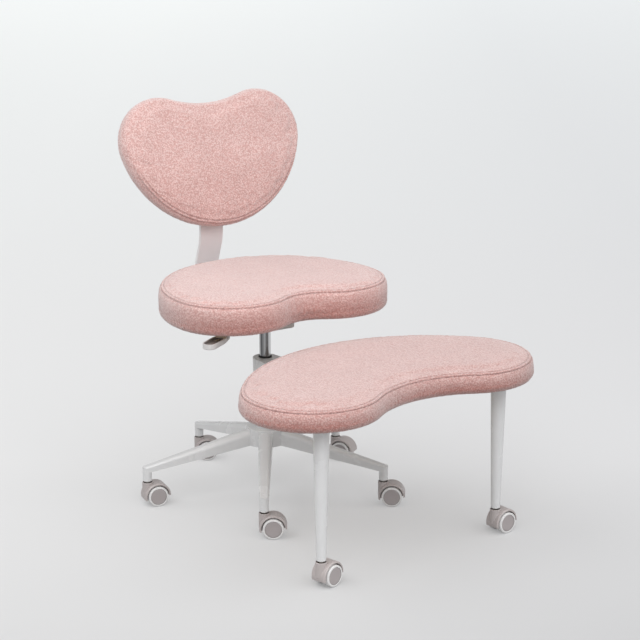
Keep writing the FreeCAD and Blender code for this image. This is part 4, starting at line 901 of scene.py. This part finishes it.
def spin_wheel(name, hub, outward, forward):
    """One wheel, spun round its axle where it stands."""
    up = outward.cross(forward)
    work = bmesh.new()
    rings = []
    for radius, width in profile:
        middle = hub + outward * (width / 1000)
        if radius == 0.0:
            rings.append([work.verts.new(middle)])
            continue
        ring = []
        for i in range(around):
            angle = math.tau * i / around
            spoke = forward * math.cos(angle) + up * math.sin(angle)
            ring.append(work.verts.new(middle + spoke * (radius / 1000)))
        rings.append(ring)
    for k in range(len(rings) - 1):
        low, high = rings[k], rings[k + 1]
        for i in range(around):
            j = (i + 1) % around
            corners = [low[i], low[j], high[j], high[i]] if len(high) > 1 else [low[i], low[j], high[0]]
            work.faces.new(corners).material_index = slot_of(k)
    mouth = rings[0]
    back = [work.verts.new(v.co + outward * bore_length) for v in mouth]
    tip = work.verts.new(hub + outward * bore_tip)
    for i in range(around):
        j = (i + 1) % around
        work.faces.new([mouth[j], mouth[i], back[i], back[j]])
        work.faces.new([back[j], back[i], tip])
    bmesh.ops.recalc_face_normals(work, faces=work.faces)
    mesh = bpy.data.meshes.new(name)
    work.to_mesh(mesh)
    work.free()
    for material in wheel_materials:
        mesh.materials.append(material)
    mesh.shade_smooth()
    return new_object(name, mesh)


wheel_joints = {j["child"]: j for j in frame["joints"] if j["name"].endswith("_spin")}
for body, joint in sorted(wheel_joints.items()):
    hub = Vector(joint["pos_m"])
    axle = Vector(joint["axis"]).normalized()
    caster, side = body.rsplit("_", 1)
    outward = axle if side == "left" else -axle
    forward = Vector((0, 0, 1)).cross(outward).normalized()
    wheel = spin_wheel(body + "_turned", hub, outward, forward)
    node = caster + "_wheel_" + side
    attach(wheel, body)
    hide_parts(node)
print("wheels:", len(wheel_joints), "faces each", len(wheel.data.polygons))

# %% [markdown]
# ## Floor and light
# The picture was taken in a white studio. A wide floor reaches past the picture's top edge, so no wall is needed
# and the chair can be looked at from every side. Its colour and its glow carry a painted light falloff: it gets
# paler into the depth and a little darker to the right, as the picture does. Its glow is there for the eye and for
# what chrome and paint mirror; it lights nothing, so the chair keeps its soft shadows. Floor and light are not
# part of the chair.

# %% Floor
floor_radius = 60
floor_drop = (0, 0, -0.0005)
floor_shift = (2.333, 3.807, 0.0)
floor_turn = math.radians(33.2)
depth_start, depth_end = 3.4, 16.4
half_width = 1.3
# Painted light falloff: the floor's tone gets paler into the depth and darker to the right.
painted_depth_light_tones = [(0.0, grey(0.435)), (0.09, grey(0.465)), (0.21, grey(0.482))]
painted_depth_light_tones += [(0.36, (0.505, 0.511, 0.511)), (1.0, (0.55, 0.566, 0.562))]
painted_falloff_tones = [(0.0, white), (0.5, (0.97, 0.97, 0.975)), (1.0, (0.90, 0.90, 0.915))]
# The glow has the same painted light falloff.
glow_tones = [(0.0, grey(0.19)), (0.023, grey(0.235)), (0.096, grey(0.355))]
glow_tones += [(0.36, (0.37, 0.374, 0.374)), (1.0, (0.435, 0.445, 0.443))]
glow_painted_falloff = [(0.0, white), (1.0, (0.91, 0.91, 0.92))]

floor_paper, tree, shader = finish("studio_floor", grey(0.8), 0.9)
slide = add(tree, "ShaderNodeMapping", {"Vector": object_place(tree), "Location": floor_shift})
swing_values = {"Vector": slide.outputs["Vector"], "Rotation": (0, 0, floor_turn)}
swing = add(tree, "ShaderNodeMapping", swing_values)
parts = add(tree, "ShaderNodeSeparateXYZ", {"Vector": swing.outputs["Vector"]})
away = remap(tree, parts.outputs["Y"], depth_start, depth_end)
aside = remap(tree, parts.outputs["X"], -half_width, half_width)
tone = blend(tree, 1.0, ramp(tree, away, painted_depth_light_tones), ramp(tree, aside, painted_falloff_tones), "MULTIPLY")
glow = blend(tree, 1.0, ramp(tree, away, glow_tones), ramp(tree, aside, glow_painted_falloff), "MULTIPLY")
rays = add(tree, "ShaderNodeLightPath").outputs
seen = compute(tree, "MAXIMUM", rays["Is Camera Ray"], rays["Is Glossy Ray"])
plug(tree, shader, {"Base Color": tone, "Emission Color": glow, "Emission Strength": seen})
plug(tree, shader, {"Specular IOR Level": 0.1})
floor_mesh = bpy.data.meshes.new("studio_floor")
work = bmesh.new()
bmesh.ops.create_circle(work, cap_ends=True, segments=96, radius=floor_radius)
bmesh.ops.translate(work, verts=work.verts, vec=floor_drop)
work.to_mesh(floor_mesh)
work.free()
floor_mesh.materials.append(floor_paper)
floor = new_object("studio_floor", floor_mesh)
print("floor radius", floor_radius, "m")

# %% [markdown]
# Two broad suns light the chair: a strong one from in front and above, and a weak one from behind, which
# casts the soft shadow forward. Two softboxes stand on the side that is brighter in the picture and give
# the curls their modelling. A sky fills in. The camera sees it brighter than it shines, so that low views
# end in a pale backdrop too.

# %% Lights
sky_light, sky_seen = 0.32, 0.86


def sun(name, direction, strength, angle):
    """Light from far away, softened by its angle in degrees."""
    lamp = bpy.data.lights.new(name, "SUN")
    lamp.energy = strength
    lamp.angle = math.radians(angle)
    look_along(new_object(name, lamp), direction)


def softbox(name, spot, aim, size, power):
    """A square lamp that is not seen itself."""
    lamp = bpy.data.lights.new(name, "AREA")
    lamp.shape = "SQUARE"
    lamp.size = size
    lamp.energy = power
    item = new_object(name, lamp)
    item.location = spot
    item.visible_camera = False
    look_along(item, Vector(aim) - Vector(spot))


sun("back_light", (0.46, -0.38, -0.8), 0.525, 40)
sun("front_light", (-0.12, 0.6, -0.79), 1.75, 85)
softbox("left_softbox", (-1.9, -0.6, 2.0), (0.0, -0.2, 0.5), 1.2, 13.0)
softbox("front_softbox", (-1.5, -2.2, 2.1), (0.0, 0.1, 0.6), 1.2, 15.5)
world = bpy.data.worlds.new("studio")
bpy.context.scene.world = world
world.use_nodes = True
sky = world.node_tree
camera_ray = add(sky, "ShaderNodeLightPath").outputs["Is Camera Ray"]
sky_strength = remap(sky, camera_ray, 0.0, 1.0, sky_light, sky_seen)
plug(sky, sky.nodes["Background"], {"Strength": sky_strength, "Color": (0.97, 0.985, 1.0, 1)})
bpy.context.scene.view_settings.view_transform = "Standard"
